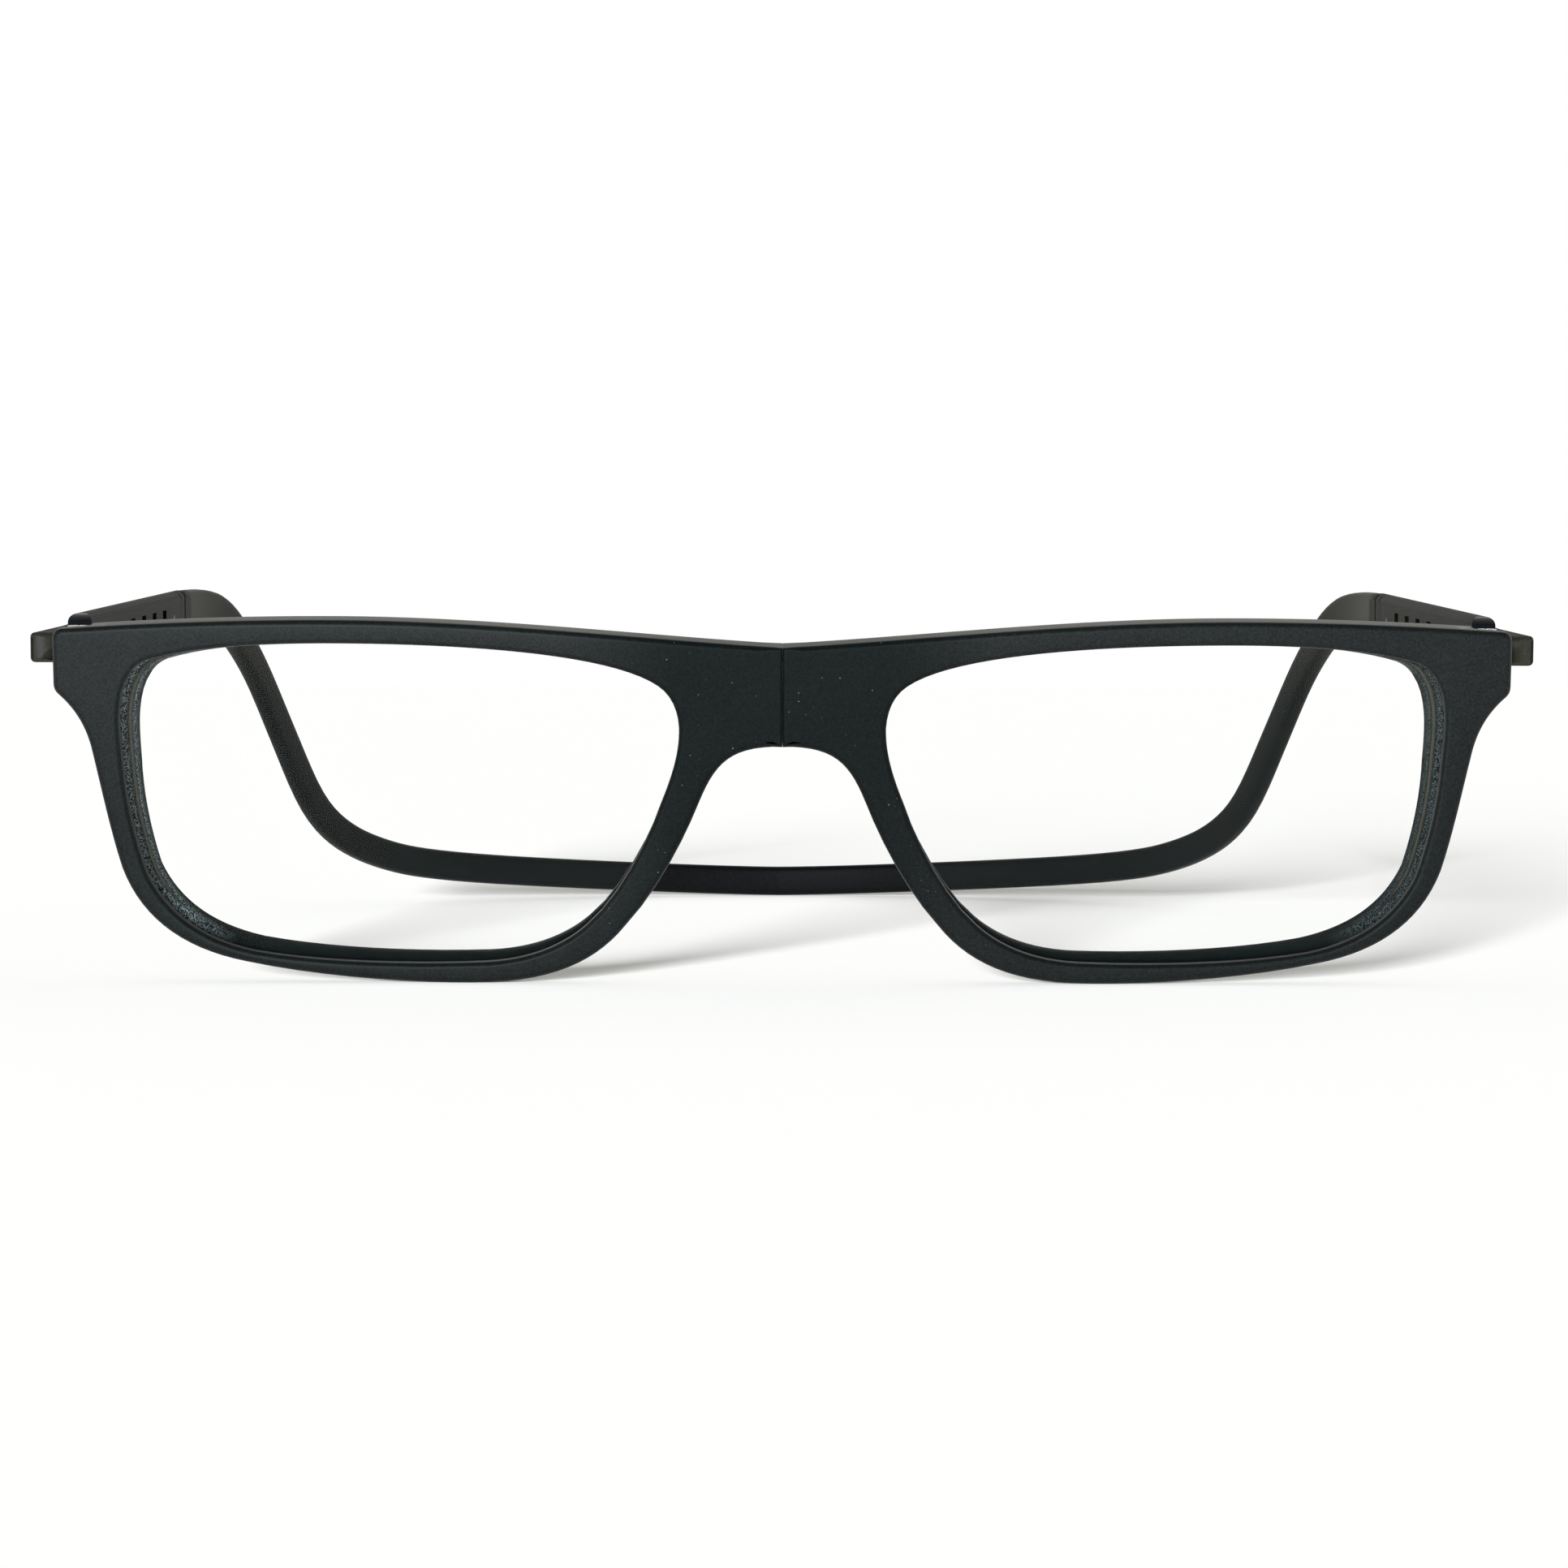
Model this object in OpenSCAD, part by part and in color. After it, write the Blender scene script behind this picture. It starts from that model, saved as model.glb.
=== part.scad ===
// Reading glasses whose front opens at a magnetic seam on the bridge.
// Two half fronts hinge on side arms, whose sleeves slide on the ends of a headband.
// Millimetres, +Z up, front towards -Y, left is -X.

/* [Front] */
// Width of one lens opening
lens_w = 54.5; // [46:0.1:58]
// Height of one lens opening
lens_h = 31.5; // [26:0.1:38]
// Distance between the two lens openings
nose_gap = 20.1; // [18:0.1:24]
// Width of the rim above the lens
top_rim = 2.3; // [2:0.05:4]
// Width of the rim under the lens
bottom_rim = 1.8; // [1.5:0.1:3]
// Width of the rim on the temple side
temple_rim = 2.5; // [1.8:0.1:3]
// Width of the rim on the nose side
nose_rim = 3.75; // [3:0.1:5]
// Width of the end piece beside the lens opening
end_w = 6.4; // [5:0.05:8]
// Height of the end piece at its outer edge
end_h = 6.5; // [6:0.1:8]
// Drop of the end piece's top below the highest point of the front
end_drop = 1.05; // [0.6:0.1:1.6]
// Drop of the bridge's top below the highest point of the front
bridge_drop = 2.5; // [1.5:0.1:4]
// Height of the bridge at the seam
bridge_h = 9.7; // [8:0.05:12]
// Thickness of the front from face to back
front_t = 4.2; // [3.9:0.1:4.6]
// Radius of the front's slight curve in plan
front_curve_r = 1200; // [1000:50:3000]
// Rounding of the front's outer edges
edge_r = 0.6; // [0.3:0.05:0.8]
// Rounding of the lens opening's front edge
lip_r = 0.5; // [0.2:0.05:0.8]
// Lean of the front forwards from square to the arms, in degrees
lean = 4.5; // [2:0.1:7]

/* [Lens seat] */
// Thickness of the front lip before the lens groove
lip_t = 1.2; // [1:0.05:1.5]
// Width of the lens groove
groove_w = 1.4; // [1.2:0.05:1.6]
// Depth of the lens groove
groove_d = 0.55; // [0.4:0.05:0.7]
// Inward reach of the rear lip on the temple side, at half height
rear_lip_temple = 1.25; // [0.6:0.05:1.6]
// Further reach of the rear lip on the temple side from the bottom to the top
rear_lip_lean = 1.1; // [0:0.1:1.4]
// Share of the rear lip's reach at the lens groove
rear_lip_draft = 0.5; // [0.2:0.1:1]
// Outward step of the rear lip on the nose side
rear_lip_nose = 0.2; // [0:0.05:0.3]
// Inward reach of the rear lip above the lens
rear_lip_top = 0.25; // [0.1:0.05:0.5]
// Inward reach of the rear lip under the lens
rear_lip_bottom = 0.5; // [0.1:0.05:0.8]
// Further reach of the rear lip in the lower corner on the temple side
rear_lip_corner = 0.8; // [0:0.1:1.2]
// Clearance between a lens and its groove
lens_clear = 0.1; // [0.06:0.01:0.15]
// Bulge of a lens's front surface
lens_front_sag = 1.1; // [0.6:0.1:1.6]
// Hollow of a lens's rear surface
lens_rear_sag = 1; // [0.2:0.1:1.4]

/* [Seam] */
// Gap between the two halves at the back of the seam, where they meet
seam_gap = 0.06; // [0.04:0.01:0.3]
// Rounding of the seam's edges
seam_r = 0.3; // [0.2:0.05:0.5]
// Radius of a magnet
magnet_r = 1.55; // [1.2:0.05:1.6]
// Length of a magnet
magnet_l = 3; // [2:0.1:5]
// Height of the magnet's centre above the seam's lower end
magnet_v = 4.9; // [4.5:0.1:6]
// Glue gap round a magnet
magnet_fit = 0.05; // [0.03:0.01:0.08]
// Depth of a magnet's end below the back of the seam
magnet_sink = 0.15; // [0.12:0.01:0.3]

/* [Hinge] */
// Distance of the hinge axis inside the end piece's outer edge
axis_inset = 2.1; // [1.8:0.05:2.3]
// Distance of the hinge axis behind the end piece's face
axis_back = 2.8; // [2.7:0.05:3]
// Height of the hinge's middle above the front's bottom
hinge_v = 32; // [31.6:0.1:32.4]
// Radius of the hinge barrels
barrel_r = 1.2; // [1.1:0.05:1.3]
// Height of the three barrels together
barrel_h = 4; // [3.6:0.1:4.4]
// Height of the middle barrel
mid_barrel_h = 1.3; // [1:0.1:1.6]
// Gap between one barrel and the next
barrel_gap = 0.08; // [0.05:0.01:0.12]
// Thickness of the leaf plates
leaf_t = 0.6; // [0.5:0.05:0.7]
// Length of the front leaf's plate
front_leaf_l = 4.6; // [3.5:0.1:5.5]
// Length of the arm leaf's plate
arm_leaf_l = 8.5; // [6:0.1:11]
// Height of the arm leaf's plate
arm_leaf_h = 1.8; // [1.6:0.1:2]
// Radius of the hinge screw's shank
screw_r = 0.55; // [0.45:0.01:0.65]
// Running clearance round the screw
screw_clear = 0.05; // [0.03:0.01:0.08]
// Radius of the screw's head
screw_head_r = 0.95; // [0.8:0.05:1.1]
// Height of the screw's head
screw_head_h = 0.5; // [0.4:0.05:0.7]
// Gap kept between pieces that move past each other
run_gap = 0.3; // [0.25:0.01:0.4]
// Seating gap round a leaf's plate
leaf_fit = 0.05; // [0.03:0.01:0.08]
// Length of the relief behind the end piece for the arm
relief_l = 11; // [10:0.5:12]
// Step from the front's back to the floor of that relief
relief_d = 0.1; // [0.05:0.05:0.2]
// Gap before the barrels in their pocket
barrel_front_gap = 0.2; // [0.15:0.01:0.3]
// Gap between the screw's head and the top barrel
head_gap = 0.04; // [0.02:0.01:0.06]
// Width of the slot in the screw's head
head_slot_w = 0.24; // [0.2:0.02:0.3]
// Depth of the slot in the screw's head
head_slot_d = 0.2; // [0.1:0.05:0.3]

/* [Arm and sleeve] */
// Height of the arm at the hinge
arm_h = 2.9; // [2.8:0.1:3.4]
// Height of the arm's middle above the hinge's middle
arm_rise = 0.3; // [0:0.05:0.3]
// Thickness of the arm at the hinge
arm_t = 3.5; // [2.8:0.1:3.8]
// Rounding of the arm's outer front edge
arm_r = 0.8; // [0.3:0.1:1]
// Distance before the sleeve at which the arm is as thin as the sleeve
arm_thin = 2.5; // [1:0.5:4]
// Total growth of the arm's height towards its root
arm_grow = 1; // [0.4:0.1:1.4]
// Length of the arm's root inside the sleeve
arm_root_l = 2; // [1.5:0.1:2.5]
// Distance from the hinge axis to the front of the sleeve
sleeve_start = 16.5; // [12:0.5:18]
// Length of the sleeve
sleeve_l = 59.5; // [58:0.5:70]
// Height of the sleeve
sleeve_h = 6; // [5.6:0.1:6.6]
// Thickness of the sleeve
sleeve_t = 2.4; // [2.3:0.05:2.8]
// Rounding of the sleeve's long edges
sleeve_r = 0.8; // [0.4:0.05:1]
// Rounding of the sleeve's front corners, seen from the side
sleeve_end_r = 1.4; // [1:0.1:2]
// Thickness of the tongue inside the sleeve
tongue_t = 1; // [0.9:0.05:1.1]
// Height of the tongue
tongue_h = 4; // [3.6:0.1:4.2]
// Length of the tongue inside the sleeve
tongue_l = 55; // [50:0.5:56]
// Room in the sleeve beyond the tongue's tip
tip_gap = 1; // [0.5:0.1:2]
// Sliding clearance round the tongue
slide_clear = 0.1; // [0.06:0.01:0.15]
// Number of adjustment notches
notches = 4; // [2:1:4]
// Distance from one notch to the next
notch_pitch = 7.2; // [6:0.1:7.5]
// Length of a notch
notch_l = 2.6; // [2:0.1:3.2]
// Height of a notch
notch_h = 2.8; // [2.2:0.1:3.2]
// Distance of the last notch from the sleeve's rear end
notch_end = 12; // [11:0.1:14]
// Radius of the travel stop pin
pin_r = 0.6; // [0.5:0.05:0.7]
// Fit gap round the stop pin in the sleeve
pin_fit = 0.02; // [0.01:0.01:0.04]
// Clearance round the stop pin in the tongue's slot
pin_clear = 0.1; // [0.06:0.01:0.15]
// Distance of the stop pin from the sleeve's rear end
pin_end = 5; // [4:0.1:6]
// Thickness of the detent spring
spring_t = 0.25; // [0.2:0.01:0.3]
// Height of the detent spring
spring_h = 1.8; // [1.2:0.1:2]
// Length of the detent spring
spring_l = 13.6; // [10:0.1:16]
// Radius of the detent spring's bump
bump_r = 0.6; // [0.4:0.05:0.7]
// Length of the detent spring behind the middle of its bump
spring_tail = 1.8; // [1.2:0.1:2.4]
// Depth of the detent spring's face below the tongue's inner face
spring_sink = 0.2; // [0.1:0.05:0.3]
// Gap round the detent spring's edges in its pocket
spring_edge_gap = 0.1; // [0.05:0.01:0.15]
// Gap behind the detent spring in its pocket
spring_gap = 0.05; // [0.03:0.01:0.08]
// Gap at the detent spring's ends in its pocket
spring_end_gap = 0.2; // [0.1:0.05:0.3]

/* [Headband] */
// Length of the end collar behind the sleeve
collar_l = 7.8; // [6:0.1:10]
// Width of the collar's grip groove
collar_groove = 0.7; // [0.4:0.1:1]
// Depth of the collar's grip groove
collar_groove_d = 0.25; // [0.1:0.05:0.4]
// Distance of the grip groove behind the collar's front end
collar_groove_y = 2.9; // [2:0.1:5]
// Length of the spigot that the band is moulded on
spigot_l = 4; // [3:0.1:5]
// Gap round the spigot in the band
spigot_fit = 0.05; // [0.03:0.01:0.08]
// Reach of the band behind the collars
band_reach = 72.9; // [60:0.1:85]
// Drop of the band's back below the line of the arms
band_drop = 39.9; // [36:0.1:44]
// Height of the band's section round the back
band_h = 4; // [3.2:0.1:4.4]
// Thickness of the band's section round the back
band_t = 2.2; // [2:0.1:2.6]
// Rounding of the band's edges
band_r = 0.75; // [0.4:0.05:0.9]

/* [Hidden] */
$fn = 32;
// How far a cutting shape runs past the solid that it cuts
past = 1;
// How far two solids of one piece run into each other
bite = 0.02;

// Places on the front's face: u across from the middle, v up from the rim's bottom.
half_gap = seam_gap / 2;
u0 = nose_gap / 2;
v0 = bottom_rim;
half_w = u0 + lens_w + end_w;
front_top = v0 + lens_h + top_rim;
end_top = front_top - end_drop;
end_bottom = end_top - end_h;
seam_top = front_top - bridge_drop;
seam_bottom = seam_top - bridge_h;

// A point of the lens opening's box, by shares of its width and height, moved by du and dv.
function at(p, q, du = 0, dv = 0) = [u0 + p * lens_w + du, v0 + q * lens_h + dv];
function line(a, b) = [a, a + (b - a) / 3, b - (b - a) / 3, b];
function bezier(s, t) =
    pow(1 - t, 3) * s[0] + 3 * t * pow(1 - t, 2) * s[1]
    + 3 * t * t * (1 - t) * s[2] + pow(t, 3) * s[3];
function path(segments, steps) =
    [for (i = [0 : len(segments) - 1]) for (k = [0 : steps[i] - 1]) bezier(segments[i], k / steps[i])];

// Both outlines run down the seam, round the nose, the bottom and the end piece, and back
// along the top. A step of one lies beside the same step of the other.
flank_top = at(0.033, 0.505, -nose_rim, 0.2);
flank_end = at(0.166, 0.124, -nose_rim, -0.1);
side_top = at(0.999, 0.654, temple_rim + 0.3);
outline_steps = [6, 14, 6, 13, 10, 15, 8, 12, 5, 3, 6, 12, 20];
outer_segments = [
    line([half_gap, seam_top], [half_gap, seam_bottom]),
    [[half_gap, seam_bottom], [0.62 * flank_top.x, seam_bottom],
     [0.8 * flank_top.x, 0.72 * seam_bottom + 0.28 * flank_top.y], flank_top],
    [flank_top, at(0.055, 0.4, -0.95 * nose_rim), at(0.11, 0.238, -1.08 * nose_rim), flank_end],
    [flank_end, at(0.146, 0.016), at(0.218, 0, 0, 0.2 - bottom_rim), at(0.338, 0, 0, -0.1 - bottom_rim)],
    [at(0.338, 0, 0, -0.1 - bottom_rim), at(0.448, 0, 0, -0.36 - bottom_rim),
     at(0.633, 0, 0, 0.12 - bottom_rim), at(0.78, 0, 0, 1.75 - bottom_rim)],
    [at(0.78, 0, 0, 1.75 - bottom_rim), at(0.893, 0, 0, 2.9 - bottom_rim),
     at(0.923, 0.13, temple_rim), at(0.956, 0.292, temple_rim)],
    [at(0.956, 0.292, temple_rim), at(0.976, 0.406, temple_rim), at(0.99, 0.54, temple_rim), side_top],
    [side_top, at(1, 0.727, temple_rim + 0.7), [half_w - 2.2, end_bottom - 1.5], [half_w - 0.5, end_bottom]],
    [[half_w - 0.5, end_bottom], [half_w - 0.15, end_bottom + 0.3], [half_w, end_bottom + 0.6],
     [half_w, end_bottom + 1.1]],
    line([half_w, end_bottom + 1.1], [half_w, end_top - 1.1]),
    [[half_w, end_top - 1.1], [half_w, end_top - 0.5], [half_w - 0.3, end_top - 0.05], [half_w - 1, end_top]],
    [[half_w - 1, end_top], [half_w - 9.6, front_top - 0.4],
     at(0.771, 1, 0, top_rim), at(0.605, 1, 0, top_rim)],
    [at(0.605, 1, 0, top_rim), at(0.33, 1, 0, top_rim), [u0 + 0.07 * lens_w, seam_top + 0.8],
     [half_gap, seam_top]]];
inner_segments = [
    [at(0.037, 0.873), at(0.013, 0.845), at(0.002, 0.799), at(0, 0.744)],
    [at(0, 0.744), at(-0.001, 0.664), at(0.014, 0.585), at(0.033, 0.505)],
    [at(0.033, 0.505), at(0.055, 0.39), at(0.11, 0.206), at(0.166, 0.124)],
    [at(0.166, 0.124), at(0.207, 0.06), at(0.266, 0.013), at(0.347, 0.005)],
    [at(0.347, 0.005), at(0.476, -0.006), at(0.642, -0.002), at(0.762, 0.032)],
    [at(0.762, 0.032), at(0.863, 0.067), at(0.923, 0.152), at(0.956, 0.273)],
    [at(0.956, 0.273), at(0.978, 0.387), at(0.993, 0.514), at(0.996, 0.625)],
    [at(0.996, 0.625), at(0.999, 0.679), at(1.002, 0.737), at(1, 0.781)],
    line(at(1, 0.781), at(0.998, 0.813)),
    [at(0.998, 0.813), at(0.995, 0.848), at(0.989, 0.876), at(0.98, 0.898)],
    [at(0.98, 0.898), at(0.974, 0.917), at(0.963, 0.933), at(0.948, 0.943)],
    [at(0.948, 0.943), at(0.863, 0.987), at(0.734, 1), at(0.605, 1)],
    [at(0.605, 1), at(0.402, 1), at(0.125, 0.978), at(0.037, 0.873)]];
outer = path(outer_segments, outline_steps);
inner = path(inner_segments, outline_steps);
stations = len(outer);

// The step that keeps both neighbouring edges at distance 1 to the left of a path.
function left_of(a, b) = [a.y - b.y, b.x - a.x] / norm(b - a);
function miter(pts, i) =
    let (n = len(pts), a = left_of(pts[(i + n - 1) % n], pts[i]), b = left_of(pts[i], pts[(i + 1) % n]))
    (a + b) / (1 + a * b);

// How far the front's face lies behind the seam at u, from its slight curve.
function face_w(u) = u * u / (2 * front_curve_r);

// The rear opening is the front opening drawn in by the rear lip, most in the lower corner.
function rear(p) =
    let (a = (p.x - u0) / lens_w, b = (p.y - v0) / lens_h)
    [p.x - rear_lip_nose * pow(1 - a, 2) - (rear_lip_temple + rear_lip_lean * (b - 0.5)) * a * a,
     p.y + (rear_lip_bottom + rear_lip_corner * a * a) * pow(1 - b, 2) - rear_lip_top * b * b];

// A point of the front at place p of its face and depth w behind it.
function front_point(p, w) = [p.x, face_w(p.x) + w, p.y];

// The hinge axis in the arm's frame is x = hinge_x, y = 0, and the arm's middle is z = 0.
hinge_x = half_w - axis_inset;
axis_w = face_w(hinge_x) + axis_back;
function turn_x(p, a) = [p.x, p.y * cos(a) - p.z * sin(a), p.y * sin(a) + p.z * cos(a)];
front_shift = -turn_x([0, axis_w, hinge_v], lean);
function front_to_arm(p) = turn_x(p, lean) + front_shift;

// The seam's faces lie on circles round the hinges, so that a half that folds on its own swings
// clear of the other half. They meet at the back, and part towards the front.
seam_swing = hinge_x - half_gap;
function seam_shift(p, w) =
    seam_swing - sqrt(pow(seam_swing, 2) - pow(front_to_arm(front_point(p, w)).y, 2));
function outer_point(i, p, w) =
    front_point(i > outline_steps[0] ? p : p + [seam_shift(p, w), 0], w);

// Insets and depths of the four points of a quarter-round edge.
round_steps = [for (k = [0 : 3]) 1 - cos(30 * k)];
function front_section(i) =
    let (
        o = outer[i], no = miter(outer, i), ip = inner[i], ni = -miter(inner, i), b = rear(ip),
        r = i <= outline_steps[0] ? seam_r : edge_r)
    concat(
        [for (k = [3 : -1 : 0])
            front_point(ip + ni * lip_r * round_steps[k], lip_r * round_steps[3 - k])],
        [front_point(ip, lip_t), front_point(ip + ni * groove_d, lip_t)],
        [front_point(ip + ni * groove_d, lip_t + groove_w)],
        [front_point(ip + (b - ip) * rear_lip_draft, lip_t + groove_w)],
        [for (k = [0 : 3])
            front_point(b + ni * lip_r * round_steps[k], front_t - lip_r * round_steps[3 - k])],
        [for (k = [3 : -1 : 0])
            outer_point(i, o + no * r * round_steps[k], front_t - r * round_steps[3 - k])],
        [for (k = [0 : 3]) outer_point(i, o + no * r * round_steps[k], r * round_steps[3 - k])]);
front_sections = [for (i = [0 : stations - 1]) front_section(i)];

// Faces of a tube of rings of m points, closed on itself or with flat end caps.
function tube_faces(n, m, closed) = concat(
    [for (i = [0 : (closed ? n - 1 : n - 2)]) for (j = [0 : m - 1]) each
        let (k = (i + 1) % n, l = (j + 1) % m)
        [[i * m + j, i * m + l, k * m + l], [i * m + j, k * m + l, k * m + j]]],
    closed ? [] : [[for (j = [m - 1 : -1 : 0]) j], [for (j = [0 : m - 1]) (n - 1) * m + j]]);

// The arm's inner face passes just outside the back of the folded front.
end_back = front_t - axis_back - relief_d;
arm_x = hinge_x + end_back + run_gap;
sleeve_end = sleeve_start + sleeve_l;
sleeve_x = arm_x + sleeve_t / 2;
channel_t = tongue_t + 2 * slide_clear;
channel_h = tongue_h + 2 * slide_clear;
tongue_tip = sleeve_end - tongue_l;
pin_y = sleeve_end - pin_end;
travel = (notches - 1) * notch_pitch;
notch_y = [for (i = [0 : notches - 1]) sleeve_end - notch_end - i * notch_pitch];
bump_y = notch_y[notches - 1];
tongue_in_x = sleeve_x - tongue_t / 2;
spring_x = tongue_in_x + spring_sink;
spring_tip = bump_y + spring_tail - spring_l;
collar_start = sleeve_end + slide_clear;
collar_end = collar_start + collar_l;

// The band's centre line: a half ellipse in plan, and a fall in side view that starts
// behind the ear. Each pair is an angle round the ellipse and a share of the drop.
fall = [[0, 0], [11.5, 0.005], [15.5, 0.04], [18.5, 0.1], [22.5, 0.22], [27.5, 0.44], [32, 0.65],
    [36.5, 0.765], [43, 0.85], [50, 0.9], [60, 0.94], [75, 0.98], [90, 1]];
function slope(i) = i == 0 || i == len(fall) - 1 ? 0 :
    (fall[i + 1][1] - fall[i - 1][1]) / (fall[i + 1][0] - fall[i - 1][0]);
function fall_in(i, t) =
    let (d = fall[i + 1][0] - fall[i][0], s = (t - fall[i][0]) / d)
    (2 * pow(s, 3) - 3 * s * s + 1) * fall[i][1] + (pow(s, 3) - 2 * s * s + s) * d * slope(i)
    + (3 * s * s - 2 * pow(s, 3)) * fall[i + 1][1] + (pow(s, 3) - s * s) * d * slope(i + 1);
function fall_at(t, i = 0) = i >= len(fall) - 2 || t <= fall[i + 1][0] ? fall_in(i, t) : fall_at(t, i + 1);
function band_at(a) =
    [sleeve_x * cos(a), collar_end + band_reach * sin(a), -band_drop * fall_at(min(a, 180 - a))];
band_angles = concat([0, 5, 9], [for (a = [12 : 2 : 48]) a], [for (a = [52 : 6 : 88]) a], [90]);
band_ring_angles = concat(band_angles, [for (i = [len(band_angles) - 2 : -1 : 0]) 180 - band_angles[i]]);
function unit(v) = v / norm(v);
// The band's section, tall at the collars and lower round the back.
function swell(a) = let (s = min(min(a, 180 - a) / 26, 1)) 1 - s * s * (3 - 2 * s);
function mixed(a, at_collar, at_back) = at_back + (at_collar - at_back) * swell(a);
function band_ring(a) =
    let (
        c = band_at(a), end = a == 0 || a == 180,
        tangent = end ? [0, a == 0 ? 1 : -1, 0] : unit(band_at(a + 0.5) - band_at(a - 0.5)),
        across = unit(cross(tangent, [0, 0, 1])), up = cross(across, tangent),
        h = mixed(a, sleeve_h, band_h) / 2, t = mixed(a, sleeve_t, band_t) / 2,
        r = mixed(a, sleeve_r, band_r))
    [for (k = [0 : 3]) for (s = [0 : 2])
        let (
            sx = k == 0 || k == 3 ? 1 : -1, sz = k < 2 ? 1 : -1, turn = k * 90 + s * 45,
            x = sx * (t - r) + r * cos(turn), z = sz * (h - r) + r * sin(turn))
        c + across * x + up * z];
band_rings = [for (a = band_ring_angles) band_ring(a)];

// At rest the fronts' bottom edges and the band's back stand on the floor.
low_i = min([for (i = [0 : stations - 1]) if (outer[i].y == min([for (p = outer) p.y])) i]);
front_foot = front_to_arm(front_point(outer[low_i], edge_r));
band_foot = band_at(90) - [0, 0, band_h / 2];
rest_tilt = atan((front_foot.z - band_foot.z) / (band_foot.y - front_foot.y));
front_rest = [for (s = front_sections) for (p = s) turn_x(front_to_arm(p), rest_tilt)];
band_rest = [for (s = band_rings) for (p = s) turn_x(p, rest_tilt)];
low_z = min(concat([for (p = front_rest) p.z], [for (p = band_rest) p.z]));
mid_y = (min([for (p = front_rest) p.y]) + max([for (p = band_rest) p.y])) / 2;
function at_rest(p) = turn_x(p, rest_tilt) - [0, mid_y, low_z];

module rest() {
    translate([0, -mid_y, -low_z]) rotate([rest_tilt, 0, 0]) children();
}
module side(s) {
    rest() mirror([s < 0 ? 1 : 0, 0, 0]) children();
}
module front_frame() {
    translate(front_shift) rotate([lean, 0, 0]) children();
}
module block(low, high) {
    translate(low) cube(high - low);
}
module rounded_bar(w, h, r, length) {
    translate([0, length, 0]) rotate([90, 0, 0]) linear_extrude(length) {
        square([w - 2 * r, h], center = true);
        square([w, h - 2 * r], center = true);
        for (sx = [-1, 1], sz = [-1, 1]) translate([sx * (w / 2 - r), sz * (h / 2 - r)]) circle(r);
    }
}

// Front halves, with the hinge pocket behind the end piece and the magnet's hole in the seam.
pocket_in = barrel_r + run_gap;
plate_y = end_back - leaf_t - 2 * leaf_fit;
module magnet_place() {
    front_frame() translate([half_gap + magnet_sink, face_w(0) + front_t / 2, seam_bottom + magnet_v])
        rotate([0, 90, 0]) children();
}
module front_half() {
    color("#2b3235") difference() {
        front_frame() polyhedron([for (s = front_sections) each s],
            tube_faces(stations, len(front_sections[0]), true), convexity = 6);
        magnet_place() translate([0, 0, -past])
            cylinder(r = magnet_r + magnet_fit, h = past + magnet_l + magnet_fit);
        hinge_pocket();
    }
}
module hinge_pocket() {
    gap = barrel_h / 2 + run_gap;
    block([hinge_x - pocket_in, -barrel_r - barrel_front_gap, -gap], [half_w + past, front_t + past, end_h]);
    block([hinge_x - front_leaf_l - leaf_fit, plate_y - leaf_fit, -barrel_h / 2 - leaf_fit],
        [hinge_x, front_t + past, barrel_h / 2 + leaf_fit]);
    block([hinge_x - relief_l, end_back, -sleeve_h / 2 - run_gap], [half_w + past, front_t + past, end_h]);
}

// Lenses: a flat flange in the groove, and a curved middle.
lens_ring = [1, 0.94, 0.8, 0.6, 0.36];
lens_middle = at(0.5, 0.5);
lens_outline = [for (i = [0 : 3 : stations - 1]) inner[i] - miter(inner, i) * (groove_d - lens_clear)];
function dome(s) = s >= 0.94 ? 0 : 1 - pow(s / 0.94, 2);
function lens_w_at(s, front) = front ? lip_t + lens_clear - lens_front_sag * dome(s)
    : lip_t + groove_w - lens_clear - lens_rear_sag * dome(s);
function lens_points(front) = [for (s = lens_ring) for (p = lens_outline)
    front_point(lens_middle + s * (p - lens_middle), lens_w_at(s, front))];
module lens() {
    n = len(lens_outline);
    m = len(lens_ring);
    side = n * m;
    color([0.85, 0.9, 0.92, 0.35]) front_frame() polyhedron(
        concat(lens_points(true), lens_points(false),
            [front_point(lens_middle, lens_w_at(0, true)), front_point(lens_middle, lens_w_at(0, false))]),
        concat(
            [for (r = [0 : m - 2]) for (j = [0 : n - 1]) each
                let (a = r * n + j, b = r * n + (j + 1) % n)
                [[a, b, b + n], [a, b + n, a + n],
                 [side + a, side + b + n, side + b], [side + a, side + a + n, side + b + n]]],
            [for (j = [0 : n - 1]) each
                let (a = (m - 1) * n + j, b = (m - 1) * n + (j + 1) % n)
                [[a, b, 2 * side], [side + b, side + a, 2 * side + 1]]],
            [for (j = [0 : n - 1]) each
                let (k = (j + 1) % n)
                [[k, j, side + j], [k, side + j, side + k]]]));
}

module magnet() {
    color("silver") magnet_place() cylinder(r = magnet_r, h = magnet_l);
}

// Three-barrel hinge.
outer_barrel_h = (barrel_h - mid_barrel_h) / 2 - barrel_gap;
bore_r = screw_r + screw_clear;
module barrel(low, high) {
    translate([hinge_x, 0, low]) cylinder(r = barrel_r, h = high - low);
}
module screw_bore() {
    translate([hinge_x, 0, -barrel_h]) cylinder(r = bore_r, h = 2 * barrel_h);
}
module hinge_front_leaf() {
    half = barrel_h / 2;
    color("silver") difference() {
        union() {
            barrel(half - outer_barrel_h, half);
            barrel(-half, outer_barrel_h - half);
            block([hinge_x - front_leaf_l, plate_y, -half], [hinge_x, plate_y + leaf_t, half]);
        }
        block([hinge_x - barrel_r - barrel_front_gap, -barrel_r, outer_barrel_h - half],
            [hinge_x + barrel_r, end_back + past, half - outer_barrel_h]);
        screw_bore();
    }
}
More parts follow.
